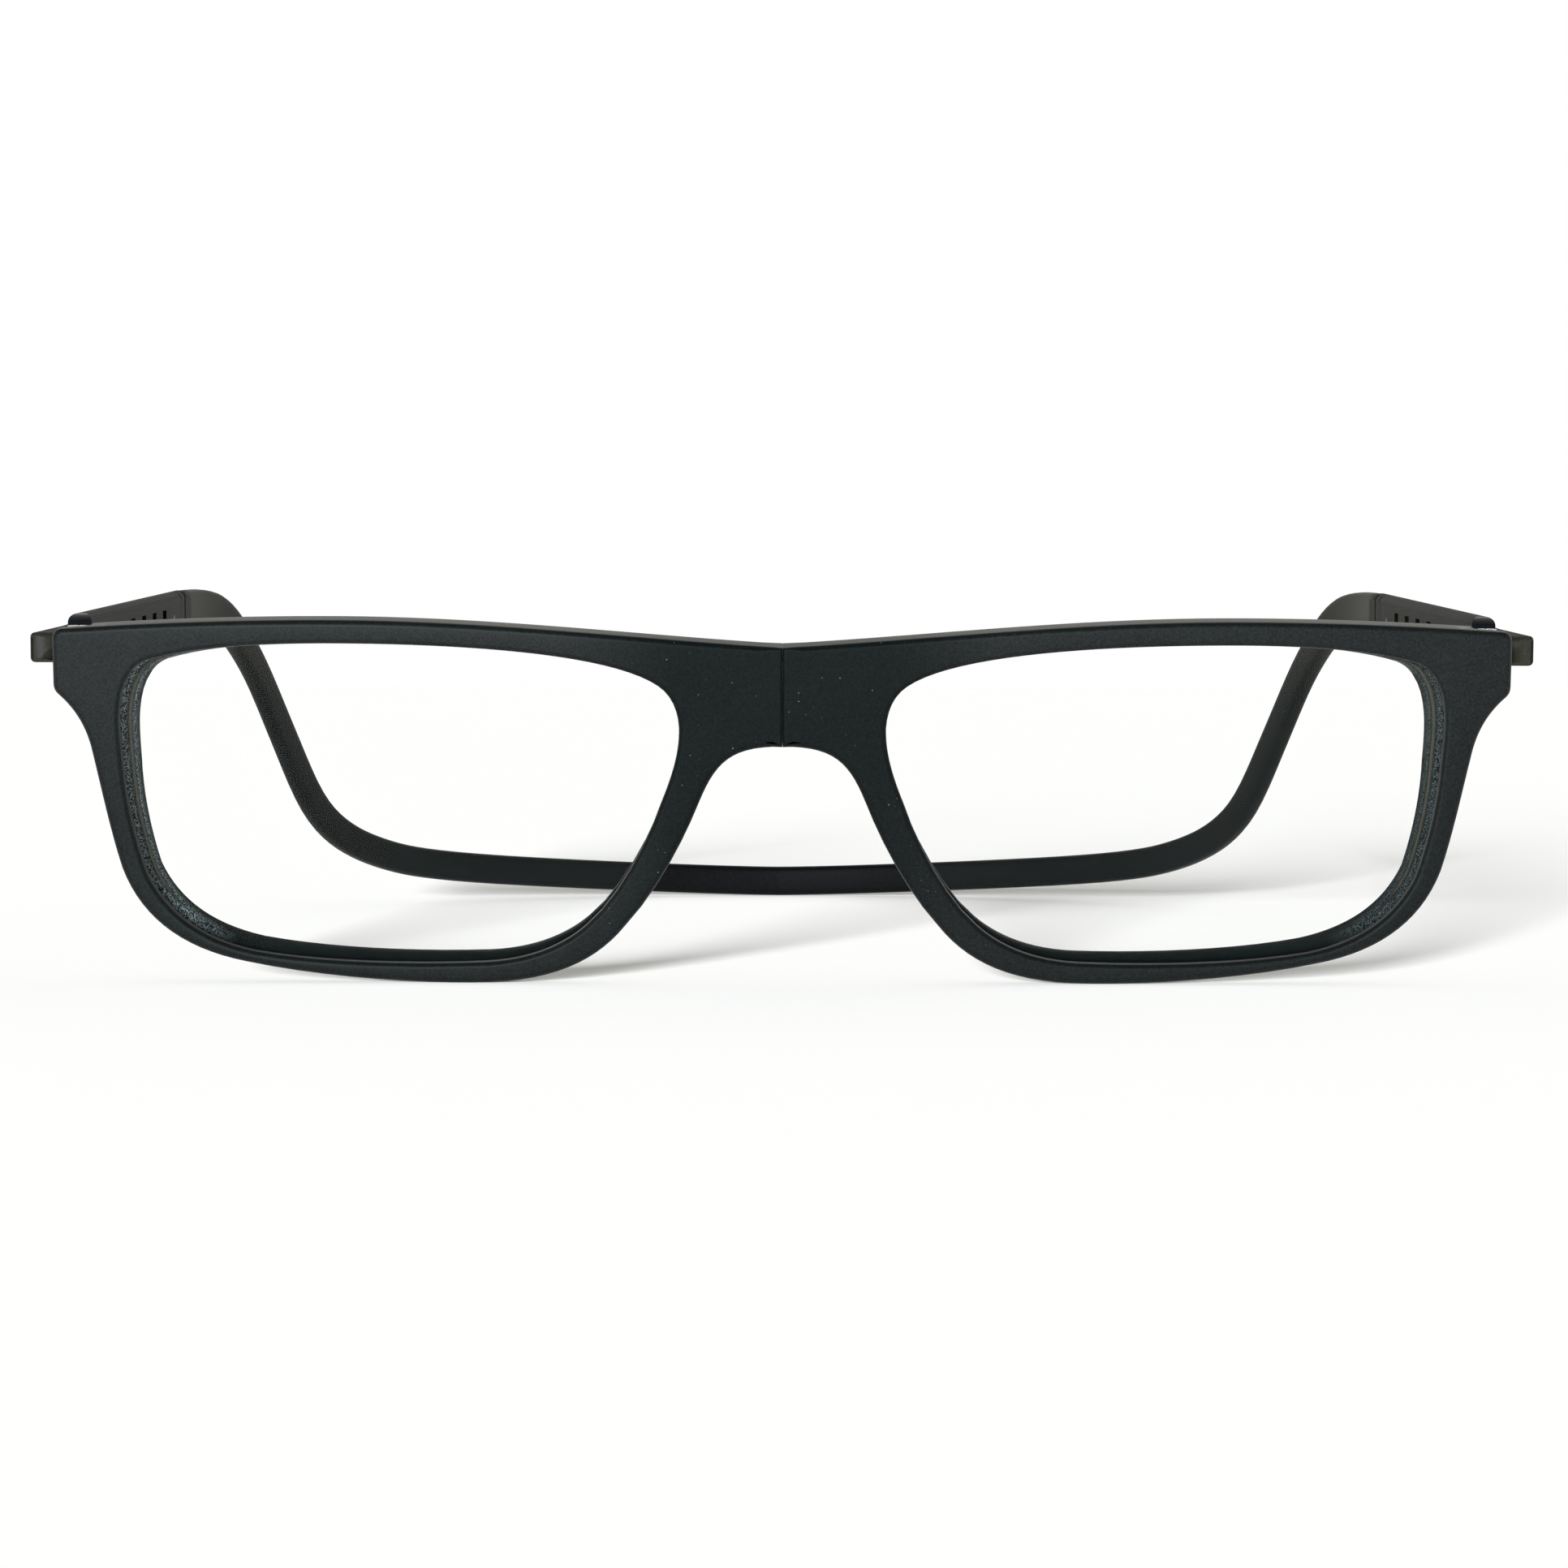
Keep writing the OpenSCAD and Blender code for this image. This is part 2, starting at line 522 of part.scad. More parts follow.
plate_x = arm_x + leaf_fit;
leaf_start = end_back + run_gap + relief_d;
module hinge_temple_leaf() {
    half = mid_barrel_h / 2;
    color("silver") difference() {
        union() {
            barrel(-half, half);
            block([hinge_x, -leaf_t / 2, -half], [plate_x + leaf_t, leaf_t / 2, half]);
            block([plate_x, -leaf_t / 2, -half], [plate_x + leaf_t, leaf_start + leaf_t, half]);
            block([plate_x, leaf_start, -arm_leaf_h / 2],
                [plate_x + leaf_t, leaf_start + arm_leaf_l, arm_leaf_h / 2]);
        }
        screw_bore();
    }
}
head_z = barrel_h / 2 + head_gap;
module hinge_screw() {
    color("lightgray") translate([hinge_x, 0, 0]) {
        translate([0, 0, 2 * head_gap - barrel_h / 2]) cylinder(r = screw_r, h = barrel_h);
        difference() {
            translate([0, 0, head_z]) cylinder(r = screw_head_r, h = screw_head_h);
            block([-head_slot_w / 2, -screw_head_r, head_z + screw_head_h - head_slot_d],
                [head_slot_w / 2, screw_head_r, barrel_h]);
        }
    }
}

// Side arm: a short solid arm that grows into the sleeve.
arm_front = end_back + run_gap;
neck_h = arm_h + arm_grow;
arm_root = sleeve_start + arm_root_l;
module arm_plan() {
    out = arm_x + arm_t - arm_r;
    translate([0, 0, -sleeve_h]) linear_extrude(2 * sleeve_h) polygon([
        [arm_x, arm_front],
        for (a = [-90, -60, -30, 0]) [out, arm_front + arm_r] + arm_r * [cos(a), sin(a)],
        [arm_x + sleeve_t, sleeve_start - arm_thin], [arm_x + sleeve_t, arm_root], [arm_x, arm_root]]);
}
module arm_side() {
    rotate([90, 0, 90]) linear_extrude(2 * half_w) polygon([
        [arm_front, arm_rise - arm_h / 2], [arm_root, -neck_h / 2],
        [arm_root, neck_h / 2], [arm_front, arm_rise + arm_h / 2]]);
}
module sleeve_side() {
    rotate([90, 0, 90]) linear_extrude(2 * half_w) {
        translate([sleeve_start + sleeve_end_r, -sleeve_h / 2]) square([sleeve_l, sleeve_h]);
        translate([sleeve_start, sleeve_end_r - sleeve_h / 2])
            square([sleeve_l, sleeve_h - 2 * sleeve_end_r]);
        for (s = [-1, 1]) translate([sleeve_start + sleeve_end_r, s * (sleeve_h / 2 - sleeve_end_r)])
            circle(sleeve_end_r);
    }
}
module temple() {
    color("#353733") difference() {
        union() {
            intersection() {
                arm_plan();
                arm_side();
            }
            intersection() {
                translate([sleeve_x, sleeve_start, 0]) rounded_bar(sleeve_t, sleeve_h, sleeve_r, sleeve_l);
                sleeve_side();
            }
        }
        block([sleeve_x - channel_t / 2, tongue_tip - tip_gap, -channel_h / 2],
            [sleeve_x + channel_t / 2, sleeve_end + past, channel_h / 2]);
        for (y = notch_y)
            block([arm_x - past, y - notch_l / 2, -notch_h / 2], [sleeve_x, y + notch_l / 2, notch_h / 2]);
        block([arm_x - past, arm_front - past, -arm_leaf_h / 2 - leaf_fit],
            [plate_x + leaf_t + leaf_fit, leaf_start + arm_leaf_l + leaf_fit, arm_leaf_h / 2 + leaf_fit]);
        translate([arm_x - past, pin_y, 0]) rotate([0, 90, 0])
            cylinder(r = pin_r + pin_fit, h = sleeve_t + 2 * past);
    }
}
module stop_pin() {
    color("#202020") translate([arm_x, pin_y, 0]) rotate([0, 90, 0]) cylinder(r = pin_r, h = sleeve_t);
}

// Slider: the tongue with the stop's slot and the spring's pocket, and the end collar.
slot_r = pin_r + pin_clear;
pocket_d = spring_x + spring_t + spring_gap - tongue_in_x;
module slider() {
    color("#2b2e2c") difference() {
        union() {
            block([tongue_in_x, tongue_tip, -tongue_h / 2],
                [tongue_in_x + tongue_t, collar_end + spigot_l, tongue_h / 2]);
            translate([sleeve_x, collar_start, 0]) rounded_bar(sleeve_t, sleeve_h, sleeve_r, collar_l);
        }
        block([tongue_in_x - past, pin_y - travel, -slot_r], [tongue_in_x + tongue_t + past, pin_y, slot_r]);
        for (y = [pin_y - travel, pin_y]) translate([tongue_in_x - past, y, 0])
            rotate([0, 90, 0]) cylinder(r = slot_r, h = tongue_t + 2 * past);
        block([tongue_in_x - past, spring_tip - spring_end_gap, -spring_h / 2 - spring_edge_gap],
            [tongue_in_x + pocket_d, bump_y + spring_tail + spring_end_gap, spring_h / 2 + spring_edge_gap]);
        for (s = [-1, 1]) translate([sleeve_x, collar_start + collar_groove_y, s * sleeve_h / 2])
            block([-sleeve_t, 0, -collar_groove_d], [sleeve_t, collar_groove, collar_groove_d]);
        block([arm_x - past, collar_start + collar_groove_y, -sleeve_h],
            [arm_x + collar_groove_d, collar_start + collar_groove_y + collar_groove, sleeve_h]);
    }
}
module detent_spring() {
    color("silver") {
        block([spring_x, spring_tip, -spring_h / 2],
            [spring_x + spring_t, bump_y + spring_tail, spring_h / 2]);
        translate([spring_x + bite, bump_y, -spring_h / 2]) intersection() {
            cylinder(r = bump_r, h = spring_h);
            block([-bump_r, -bump_r, 0], [0, bump_r, spring_h]);
        }
    }
}
module headband() {
    color("#20282a") rest() difference() {
        polyhedron([for (s = band_rings) each s],
            tube_faces(len(band_rings), len(band_rings[0]), false), convexity = 6);
        for (s = [-1, 1]) mirror([s < 0 ? 1 : 0, 0, 0]) block(
            [tongue_in_x - spigot_fit, collar_end - past, -tongue_h / 2 - spigot_fit],
            [tongue_in_x + tongue_t + spigot_fit, collar_end + spigot_l + spigot_fit,
             tongue_h / 2 + spigot_fit]);
    }
}

side(-1) front_half();  // front_left
side(1) front_half();  // front_right
side(-1) lens();  // lens_left
side(1) lens();  // lens_right
side(-1) magnet();  // magnet_left
side(1) magnet();  // magnet_right
side(-1) hinge_front_leaf();  // hinge_front_leaf_left
side(1) hinge_front_leaf();  // hinge_front_leaf_right
side(-1) hinge_temple_leaf();  // hinge_temple_leaf_left
side(1) hinge_temple_leaf();  // hinge_temple_leaf_right
side(-1) hinge_screw();  // hinge_screw_left
side(1) hinge_screw();  // hinge_screw_right
side(-1) temple();  // temple_left
side(1) temple();  // temple_right
side(-1) stop_pin();  // stop_pin_left
side(1) stop_pin();  // stop_pin_right
side(-1) slider();  // slider_left
side(1) slider();  // slider_right
side(-1) detent_spring();  // detent_spring_left
side(1) detent_spring();  // detent_spring_right
headband();
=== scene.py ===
import math

import bmesh
import bpy
from mathutils import Euler, Matrix, Vector


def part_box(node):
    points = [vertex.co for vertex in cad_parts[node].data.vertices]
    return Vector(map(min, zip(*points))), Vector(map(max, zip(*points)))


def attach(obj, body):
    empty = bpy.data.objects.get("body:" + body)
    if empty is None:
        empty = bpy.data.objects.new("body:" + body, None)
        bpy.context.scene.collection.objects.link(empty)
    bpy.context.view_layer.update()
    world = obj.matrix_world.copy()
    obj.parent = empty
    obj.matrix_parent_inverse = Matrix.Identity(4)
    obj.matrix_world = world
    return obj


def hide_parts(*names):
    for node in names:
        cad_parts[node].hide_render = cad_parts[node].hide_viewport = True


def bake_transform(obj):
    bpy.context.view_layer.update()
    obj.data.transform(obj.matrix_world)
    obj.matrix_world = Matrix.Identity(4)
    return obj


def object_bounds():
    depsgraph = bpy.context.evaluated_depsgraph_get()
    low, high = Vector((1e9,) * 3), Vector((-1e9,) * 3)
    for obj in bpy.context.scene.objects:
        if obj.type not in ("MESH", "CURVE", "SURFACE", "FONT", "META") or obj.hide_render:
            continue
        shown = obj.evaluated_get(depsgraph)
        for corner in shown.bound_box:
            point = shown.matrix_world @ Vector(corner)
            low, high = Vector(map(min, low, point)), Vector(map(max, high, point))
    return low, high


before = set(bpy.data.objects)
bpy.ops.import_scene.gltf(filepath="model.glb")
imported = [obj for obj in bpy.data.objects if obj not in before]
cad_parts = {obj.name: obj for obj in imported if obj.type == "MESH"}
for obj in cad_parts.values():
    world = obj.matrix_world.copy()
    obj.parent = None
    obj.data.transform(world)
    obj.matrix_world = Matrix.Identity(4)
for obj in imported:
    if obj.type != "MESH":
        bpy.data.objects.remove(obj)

bl_info = {
    "name": "Reading glasses with a headband",
    "version": (1, 0, 0),
    "blender": (4, 5, 0),
    "location": "View3D > Sidebar > Glasses",
    "description": "Dresses the solids in moulded nylon, clear plastic and metal, on a soft white stage",
    "category": "Object",
}

CAD_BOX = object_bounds()
MM = 0.001
SIDES = ("left", "right")
WHITE = (1.0, 1.0, 1.0, 1.0)

# Sockets of a Map Range node
VALUE, FROM_LOW, FROM_HIGH, TO_LOW, TO_HIGH = range(5)
# Sockets of a Mix node for colours, and its output
SHARE, FIRST, SECOND = 0, 6, 7
MIXED = 2

CORNER = math.radians(40)


# Settings

class GlassesSizes(bpy.types.PropertyGroup):
    edge_round: bpy.props.FloatProperty(
        name="Edge rounding", description="Rounding of the arms' and sliders' moulded edges",
        default=0.12 * MM, min=0.0, unit="LENGTH")
    smooth_angle: bpy.props.FloatProperty(
        name="Smoothing angle", description="Edges flatter than this are shaded smooth",
        default=math.radians(50), subtype="ANGLE")
    seam_gap: bpy.props.FloatProperty(
        name="Seam gap", description="Gap between the solids at the back of the seam",
        default=0.06 * MM, min=0.0, unit="LENGTH")
    seam: bpy.props.FloatProperty(
        name="Seam", description="Room from a half front to the middle, while the magnets hold them",
        default=0.002 * MM, min=0.0, unit="LENGTH")
    seam_flat: bpy.props.FloatProperty(
        name="Seam's flat", description="Width beside the middle that moves whole to close the seam",
        default=0.8 * MM, unit="LENGTH")
    seam_reach: bpy.props.FloatProperty(
        name="Seam's reach", description="Width beside the middle that gives way as the seam closes",
        default=3 * MM, unit="LENGTH")
    arm_tilt: bpy.props.FloatProperty(
        name="Arm tilt", description="Rise of the arms from the hinges back, as the glasses stand",
        default=math.radians(3.456), subtype="ANGLE")
    arm_edge_round: bpy.props.FloatProperty(
        name="Arm edge rounding", description="Rounding of the arms' outer edges beside the fronts",
        default=0.45 * MM, min=0.0, unit="LENGTH")
    arm_width: bpy.props.FloatProperty(
        name="Arm width", description="From the arm's outer face to behind all its rounded outer edges",
        default=3 * MM, unit="LENGTH")
    arm_length: bpy.props.FloatProperty(
        name="Arm length", description="From the arm's front to the front end of its sleeve",
        default=14.9 * MM, min=0.0, unit="LENGTH")
    arm_end_depth: bpy.props.FloatProperty(
        name="Arm end depth", description="Depth of the arms' front ends that are painted paler",
        default=0.3 * MM, unit="LENGTH")
    sleeve_end_length: bpy.props.FloatProperty(
        name="Sleeve end length", description="Length of the sleeves' front ends that carry the painted shade",
        default=1.2 * MM, unit="LENGTH")
    front_lean: bpy.props.FloatProperty(
        name="Front lean", description="Lean of the fronts' faces from upright",
        default=math.radians(7.96), subtype="ANGLE")
    front_curve: bpy.props.FloatProperty(
        name="Front curve", description="Radius of the fronts' curve in plan",
        default=1200 * MM, unit="LENGTH")
    seat_depth: bpy.props.FloatProperty(
        name="Seat depth", description="From the front's face to the edge that the lens rests on",
        default=2.6 * MM, unit="LENGTH")
    wall_end: bpy.props.FloatProperty(
        name="Wall end", description="From the front's face to the end of the lens opening's grained wall",
        default=3.6 * MM, unit="LENGTH")
    wall_room: bpy.props.FloatProperty(
        name="Wall room", description="Room round the lens's box that holds the walls of its opening",
        default=1.2 * MM, unit="LENGTH")
    cloud: bpy.props.FloatProperty(
        name="Cloud", description="Width of the nylon's faint clouds of tone",
        default=9 * MM, min=0.0, unit="LENGTH")
    grain: bpy.props.FloatProperty(
        name="Grain", description="Width of one grain of the moulded surface",
        default=0.22 * MM, min=0.0, unit="LENGTH")
    wall_grain: bpy.props.FloatProperty(
        name="Wall grain", description="Width of one pit of the lens openings' walls",
        default=0.13 * MM, min=0.0, unit="LENGTH")
    right_wall_light: bpy.props.FloatProperty(
        name="Right wall", description="How strongly the right wall's pits are painted pale, as a share of the left wall's, as painted light",
        default=0.35, min=0.0, max=1.0)
    dust_gap: bpy.props.FloatProperty(
        name="Dust gap", description="Distance between the places where dust can lie",
        default=0.8 * MM, min=0.0, unit="LENGTH")
    bridge_dull: bpy.props.FloatProperty(
        name="Dull bridge", description="From the middle to the end of the bridge's dullest part",
        default=9 * MM, unit="LENGTH")
    bridge_clear: bpy.props.FloatProperty(
        name="Clear of the bridge", description="From the middle to where the bridge's dullness ends",
        default=24 * MM, unit="LENGTH")
    foot_dull: bpy.props.FloatProperty(
        name="Dull foot", description="Height up to which the fronts' feet are dullest",
        default=12 * MM, unit="LENGTH")
    foot_clear: bpy.props.FloatProperty(
        name="Clear of the foot", description="Height where the feet's dullness ends",
        default=34 * MM, unit="LENGTH")
    band_cool: bpy.props.FloatProperty(
        name="Band's own colour", description="Height up to which the band has its own colour",
        default=27 * MM, unit="LENGTH")
    band_warm: bpy.props.FloatProperty(
        name="Band's warm end", description="Height from which the band is as warm as the arms",
        default=36 * MM, unit="LENGTH")


class GlassesColours(bpy.types.PropertyGroup):
    nylon: bpy.props.StringProperty(
        name="Nylon", description="sRGB hex of the half fronts' nylon", default="0b1112")
    arm_nylon: bpy.props.StringProperty(
        name="Arm nylon", description="sRGB hex of the arms' nylon", default="1a1912")
    arm_end_light: bpy.props.StringProperty(
        name="Arm end", description="sRGB hex of the arms' front ends, painted paler as painted light", default="302d26")
    sleeve_end_shade: bpy.props.StringProperty(
        name="Sleeve end", description="sRGB hex of the front end of a sleeve, painted darker as painted shade",
        default="0c1016")
    band_nylon: bpy.props.StringProperty(
        name="Band nylon", description="sRGB hex of the headband's nylon", default="050709")
    wall_pit_highlight: bpy.props.StringProperty(
        name="Wall pit highlight", description="sRGB hex of the painted highlight in the pits of the lens openings' walls",
        default="939da0")
    lens_edge_and_highlight: bpy.props.StringProperty(
        name="Lens edge and highlight", description="sRGB hex of the line on the edge that the lens rests on, for the lens's frosted edge and painted highlight", default="6b6254")
    sheen: bpy.props.StringProperty(
        name="Sheen", description="sRGB hex of the nylon's sheen at its edges", default="f0ead8")
    dust: bpy.props.StringProperty(
        name="Dust", description="sRGB hex of the specks on the bridge", default="b9c0c0")
    coating: bpy.props.StringProperty(
        name="Coating", description="sRGB hex of the gleam of the lenses' coating", default="e1faf1")
    paper: bpy.props.StringProperty(
        name="Paper", description="sRGB hex of the paper floor", default="f8f8f8")


class GlassesStage(bpy.types.PropertyGroup):
    distance: bpy.props.FloatProperty(
        name="Camera distance", description="From the camera to the front of the glasses",
        default=370 * MM, unit="LENGTH")
    height: bpy.props.FloatProperty(
        name="Camera height", description="Height of the camera above the floor",
        default=29.2 * MM, unit="LENGTH")
    view_angle: bpy.props.FloatProperty(
        name="View angle", description="Angle that the square picture takes in",
        default=math.radians(23.13), subtype="ANGLE")
    pitch: bpy.props.FloatProperty(
        name="Pitch", description="How far the camera looks down",
        default=math.radians(1.467), subtype="ANGLE")
    roll: bpy.props.FloatProperty(
        name="Roll", description="Turn of the camera about its line of sight",
        default=math.radians(0.14), subtype="ANGLE")
    heading: bpy.props.FloatProperty(
        name="Heading", description="Turn of the camera about the vertical, to the right",
        default=math.radians(0.213), subtype="ANGLE")
    orbit: bpy.props.FloatProperty(
        name="Orbit", description="Turn of the camera's place about the glasses",
        default=math.radians(0.155), subtype="ANGLE")
    sky: bpy.props.FloatProperty(
        name="Tent light", description="Strength of the light tent at the back", default=0.85, min=0.0)
    roof: bpy.props.FloatProperty(
        name="Roof light", description="Strength of the tent's roof, as a share of its back",
        default=0.35, min=0.0)
    front: bpy.props.FloatProperty(
        name="Front light", description="Strength of the tent in front, as a share of its back",
        default=0.2, min=0.0)
    cool: bpy.props.StringProperty(
        name="Cool light", description="sRGB hex of the tent's light in front", default="d6eaf2")
    warm: bpy.props.StringProperty(
        name="Warm light", description="sRGB hex of the tent's light above and behind", default="fffaf0")
    key_colour: bpy.props.StringProperty(
        name="Key colour", description="sRGB hex of the key light", default="eaf5f8")
    key: bpy.props.FloatProperty(
        name="Key light", description="Strength of the soft key light from the front left",
        default=2.2, min=0.0)
    key_softness: bpy.props.FloatProperty(
        name="Key softness", description="Angle that the key light fills, seen from the glasses",
        default=math.radians(11), subtype="ANGLE")
    key_turn: bpy.props.FloatProperty(
        name="Key turn", description="Turn of the key light from the front to the left",
        default=math.radians(12.5), subtype="ANGLE")
    key_rise: bpy.props.FloatProperty(
        name="Key rise", description="Height of the key light above the floor, as an angle",
        default=math.radians(7), subtype="ANGLE")
    paper_key: bpy.props.FloatProperty(
        name="Paper light", description="Strength of the lamp that lights the paper alone",
        default=15.5, min=0.0)
    glow: bpy.props.FloatProperty(
        name="Paper glow", description="Light that the paper adds for the camera, mirrors and glass",
        default=0.06, min=0.0)
    paper_size: bpy.props.FloatProperty(
        name="Paper size", description="From the middle of the paper to its edge, out of sight",
        default=40.0, unit="LENGTH")


# Colours and nodes

def linear(code):
    """Linear RGBA of an sRGB hex code."""
    parts = (int(code[i:i + 2], 16) / 255 for i in (0, 2, 4))
    return tuple(c / 12.92 if c <= 0.04045 else ((c + 0.055) / 1.055) ** 2.4 for c in parts) + (1.0,)


def add_node(tree, kind, inputs=None, **settings):
    """Adds a node with its settings. An input given as a socket is linked, and any other is set."""
    node = tree.nodes.new(kind)
    for name, value in settings.items():
        setattr(node, name, value)
    for name, value in (inputs or {}).items():
        if isinstance(value, bpy.types.NodeSocket):
            tree.links.new(value, node.inputs[name])
        else:
            node.inputs[name].default_value = value
    return node


def new_material(name):
    """A material with an empty node tree, and that tree."""
    material = bpy.data.materials.new(name)
    material.use_nodes = True
    material.node_tree.nodes.clear()
    return material, material.node_tree


# Nylon 12, injection moulded in a spark-eroded tool. The tool's grain makes a matte skin with
# a weak, wide highlight, and the melt's flow leaves faint clouds in its tone. A real grain is
# under 0.1 mm wide, too fine to show, so it is drawn coarser.
def moulded_nylon(name, code, roughness, gloss, sheen=0.0, depth=0.05, front=False, upper=None):
    sizes, colours = bpy.context.scene.glasses_sizes, bpy.context.scene.glasses_colours
    material, tree = new_material(name)
    place = add_node(tree, "ShaderNodeTexCoord").outputs["Object"]
    across, _, rise = add_node(tree, "ShaderNodeSeparateXYZ", {"Vector": place}).outputs
    cloud = add_node(tree, "ShaderNodeTexNoise", {
        "Vector": place, "Scale": 1 / sizes.cloud, "Detail": 2.0}).outputs[0]
    grain = add_node(tree, "ShaderNodeTexNoise", {
        "Vector": place, "Scale": 1 / sizes.grain, "Detail": 3.0}).outputs[0]
    colour = linear(code)
    # The clouds and the grain's tops are a little paler than the rest.
    pale = tuple(c * 1.6 + 0.001 for c in colour[:3]) + (1.0,)
    for pattern, low, high, most in ((cloud, 0.35, 0.7, 0.4), (grain, 0.5, 0.8, 0.6)):
        share = add_node(tree, "ShaderNodeMapRange", {
            VALUE: pattern, FROM_LOW: low, FROM_HIGH: high, TO_HIGH: most}).outputs[0]
        colour = add_node(tree, "ShaderNodeMix", {SHARE: share, FIRST: colour, SECOND: pale},
                          data_type="RGBA").outputs[MIXED]
    height = grain
    if upper:
        # Where the band meets the arm it is as warm as the arm.
        share = add_node(tree, "ShaderNodeMapRange", {
            VALUE: rise, FROM_LOW: sizes.band_cool, FROM_HIGH: sizes.band_warm}).outputs[0]
        colour = add_node(tree, "ShaderNodeMix", {SHARE: share, FIRST: colour, SECOND: linear(upper)},
                          data_type="RGBA").outputs[MIXED]
    if front:
        colour, height = grained_walls(tree, place, across, colour, height)
        colour, gloss = dust_and_painted_shade(tree, place, across, rise, colour, gloss)
    bump = add_node(tree, "ShaderNodeBump", {"Height": height, "Strength": depth, "Distance": 0.03 * MM})
    rough = add_node(tree, "ShaderNodeMapRange", {
        VALUE: grain, FROM_LOW: 0.3, FROM_HIGH: 0.7, TO_LOW: roughness, TO_HIGH: roughness + 0.14})
    # The grain's tops shine a little more than its pits, which mottles the highlight.
    mottle = add_node(tree, "ShaderNodeMapRange", {
        VALUE: grain, FROM_LOW: 0.35, FROM_HIGH: 0.65, TO_LOW: 0.75, TO_HIGH: 1.3})
    gloss = add_node(tree, "ShaderNodeMath", {0: mottle.outputs[0], 1: gloss}, operation="MULTIPLY")
    skin = add_node(tree, "ShaderNodeBsdfPrincipled", {
        "Base Color": colour, "Roughness": rough.outputs[0], "IOR": 1.53,
        "Specular IOR Level": gloss.outputs[0], "Sheen Weight": sheen, "Sheen Roughness": 0.35,
        "Sheen Tint": linear(colours.sheen), "Normal": bump.outputs[0]})
    add_node(tree, "ShaderNodeOutputMaterial", {"Surface": skin.outputs[0]})
    return material


def grained_walls(tree, place, across, colour, height):
    """The walls of the lens openings keep the electrode's coarser grain, whose pits are painted pale as a
    painted highlight where they catch light. The edge that the lens rests on carries a pale brown line for
    the lens's frosted edge, part its colour and part painted highlight. The pits are deep enough to catch
    light."""
    sizes, colours = bpy.context.scene.glasses_sizes, bpy.context.scene.glasses_colours
    wall = add_node(tree, "ShaderNodeAttribute", attribute_name="wall").outputs["Fac"]
    seat = add_node(tree, "ShaderNodeAttribute", attribute_name="seat").outputs["Fac"]
    noise = add_node(tree, "ShaderNodeTexNoise", {
        "Vector": place, "Scale": 1 / sizes.wall_grain, "Detail": 1.0}).outputs[0]
    pits = add_node(tree, "ShaderNodeMapRange", {VALUE: noise, FROM_LOW: 0.46, FROM_HIGH: 0.6}).outputs[0]
    within = add_node(tree, "ShaderNodeMapRange", {VALUE: wall, FROM_LOW: 0.12, FROM_HIGH: 0.7})
    # Painted light: the right wall's pits get a fainter painted highlight than the left's. The side changes
    # across the bridge, where there are no such walls.
    side = add_node(tree, "ShaderNodeMapRange", {
        VALUE: across, FROM_LOW: -sizes.bridge_dull, FROM_HIGH: sizes.bridge_dull,
        TO_LOW: 1.0, TO_HIGH: sizes.right_wall_light})
    beside_seat = add_node(tree, "ShaderNodeMapRange", {
        VALUE: seat, FROM_LOW: 0.6, FROM_HIGH: 0.8, TO_LOW: 1.0, TO_HIGH: 0.15})
    for share in (within, side, beside_seat):
        pits = add_node(tree, "ShaderNodeMath", {0: pits, 1: share.outputs[0]},
                        operation="MULTIPLY").outputs[0]
    # The line on the edge that the lens rests on stands for the lens's frosted edge: part its colour, part
    # painted highlight.
    painted_light = add_node(tree, "ShaderNodeMapRange", {
        VALUE: seat, FROM_LOW: 0.8, FROM_HIGH: 0.95, TO_HIGH: 0.45}).outputs[0]
    # Both colours are painted light: the pits' pale colour is painted highlight, and the edge's line is the
    # lens's frosted edge with painted highlight.
    for share, code in ((pits, colours.wall_pit_highlight), (painted_light, colours.lens_edge_and_highlight)):
        colour = add_node(tree, "ShaderNodeMix", {SHARE: share, FIRST: colour, SECOND: linear(code)},
                          data_type="RGBA").outputs[MIXED]
    height = add_node(tree, "ShaderNodeMath", {0: height, 1: pits}, operation="ADD").outputs[0]
    return colour, height


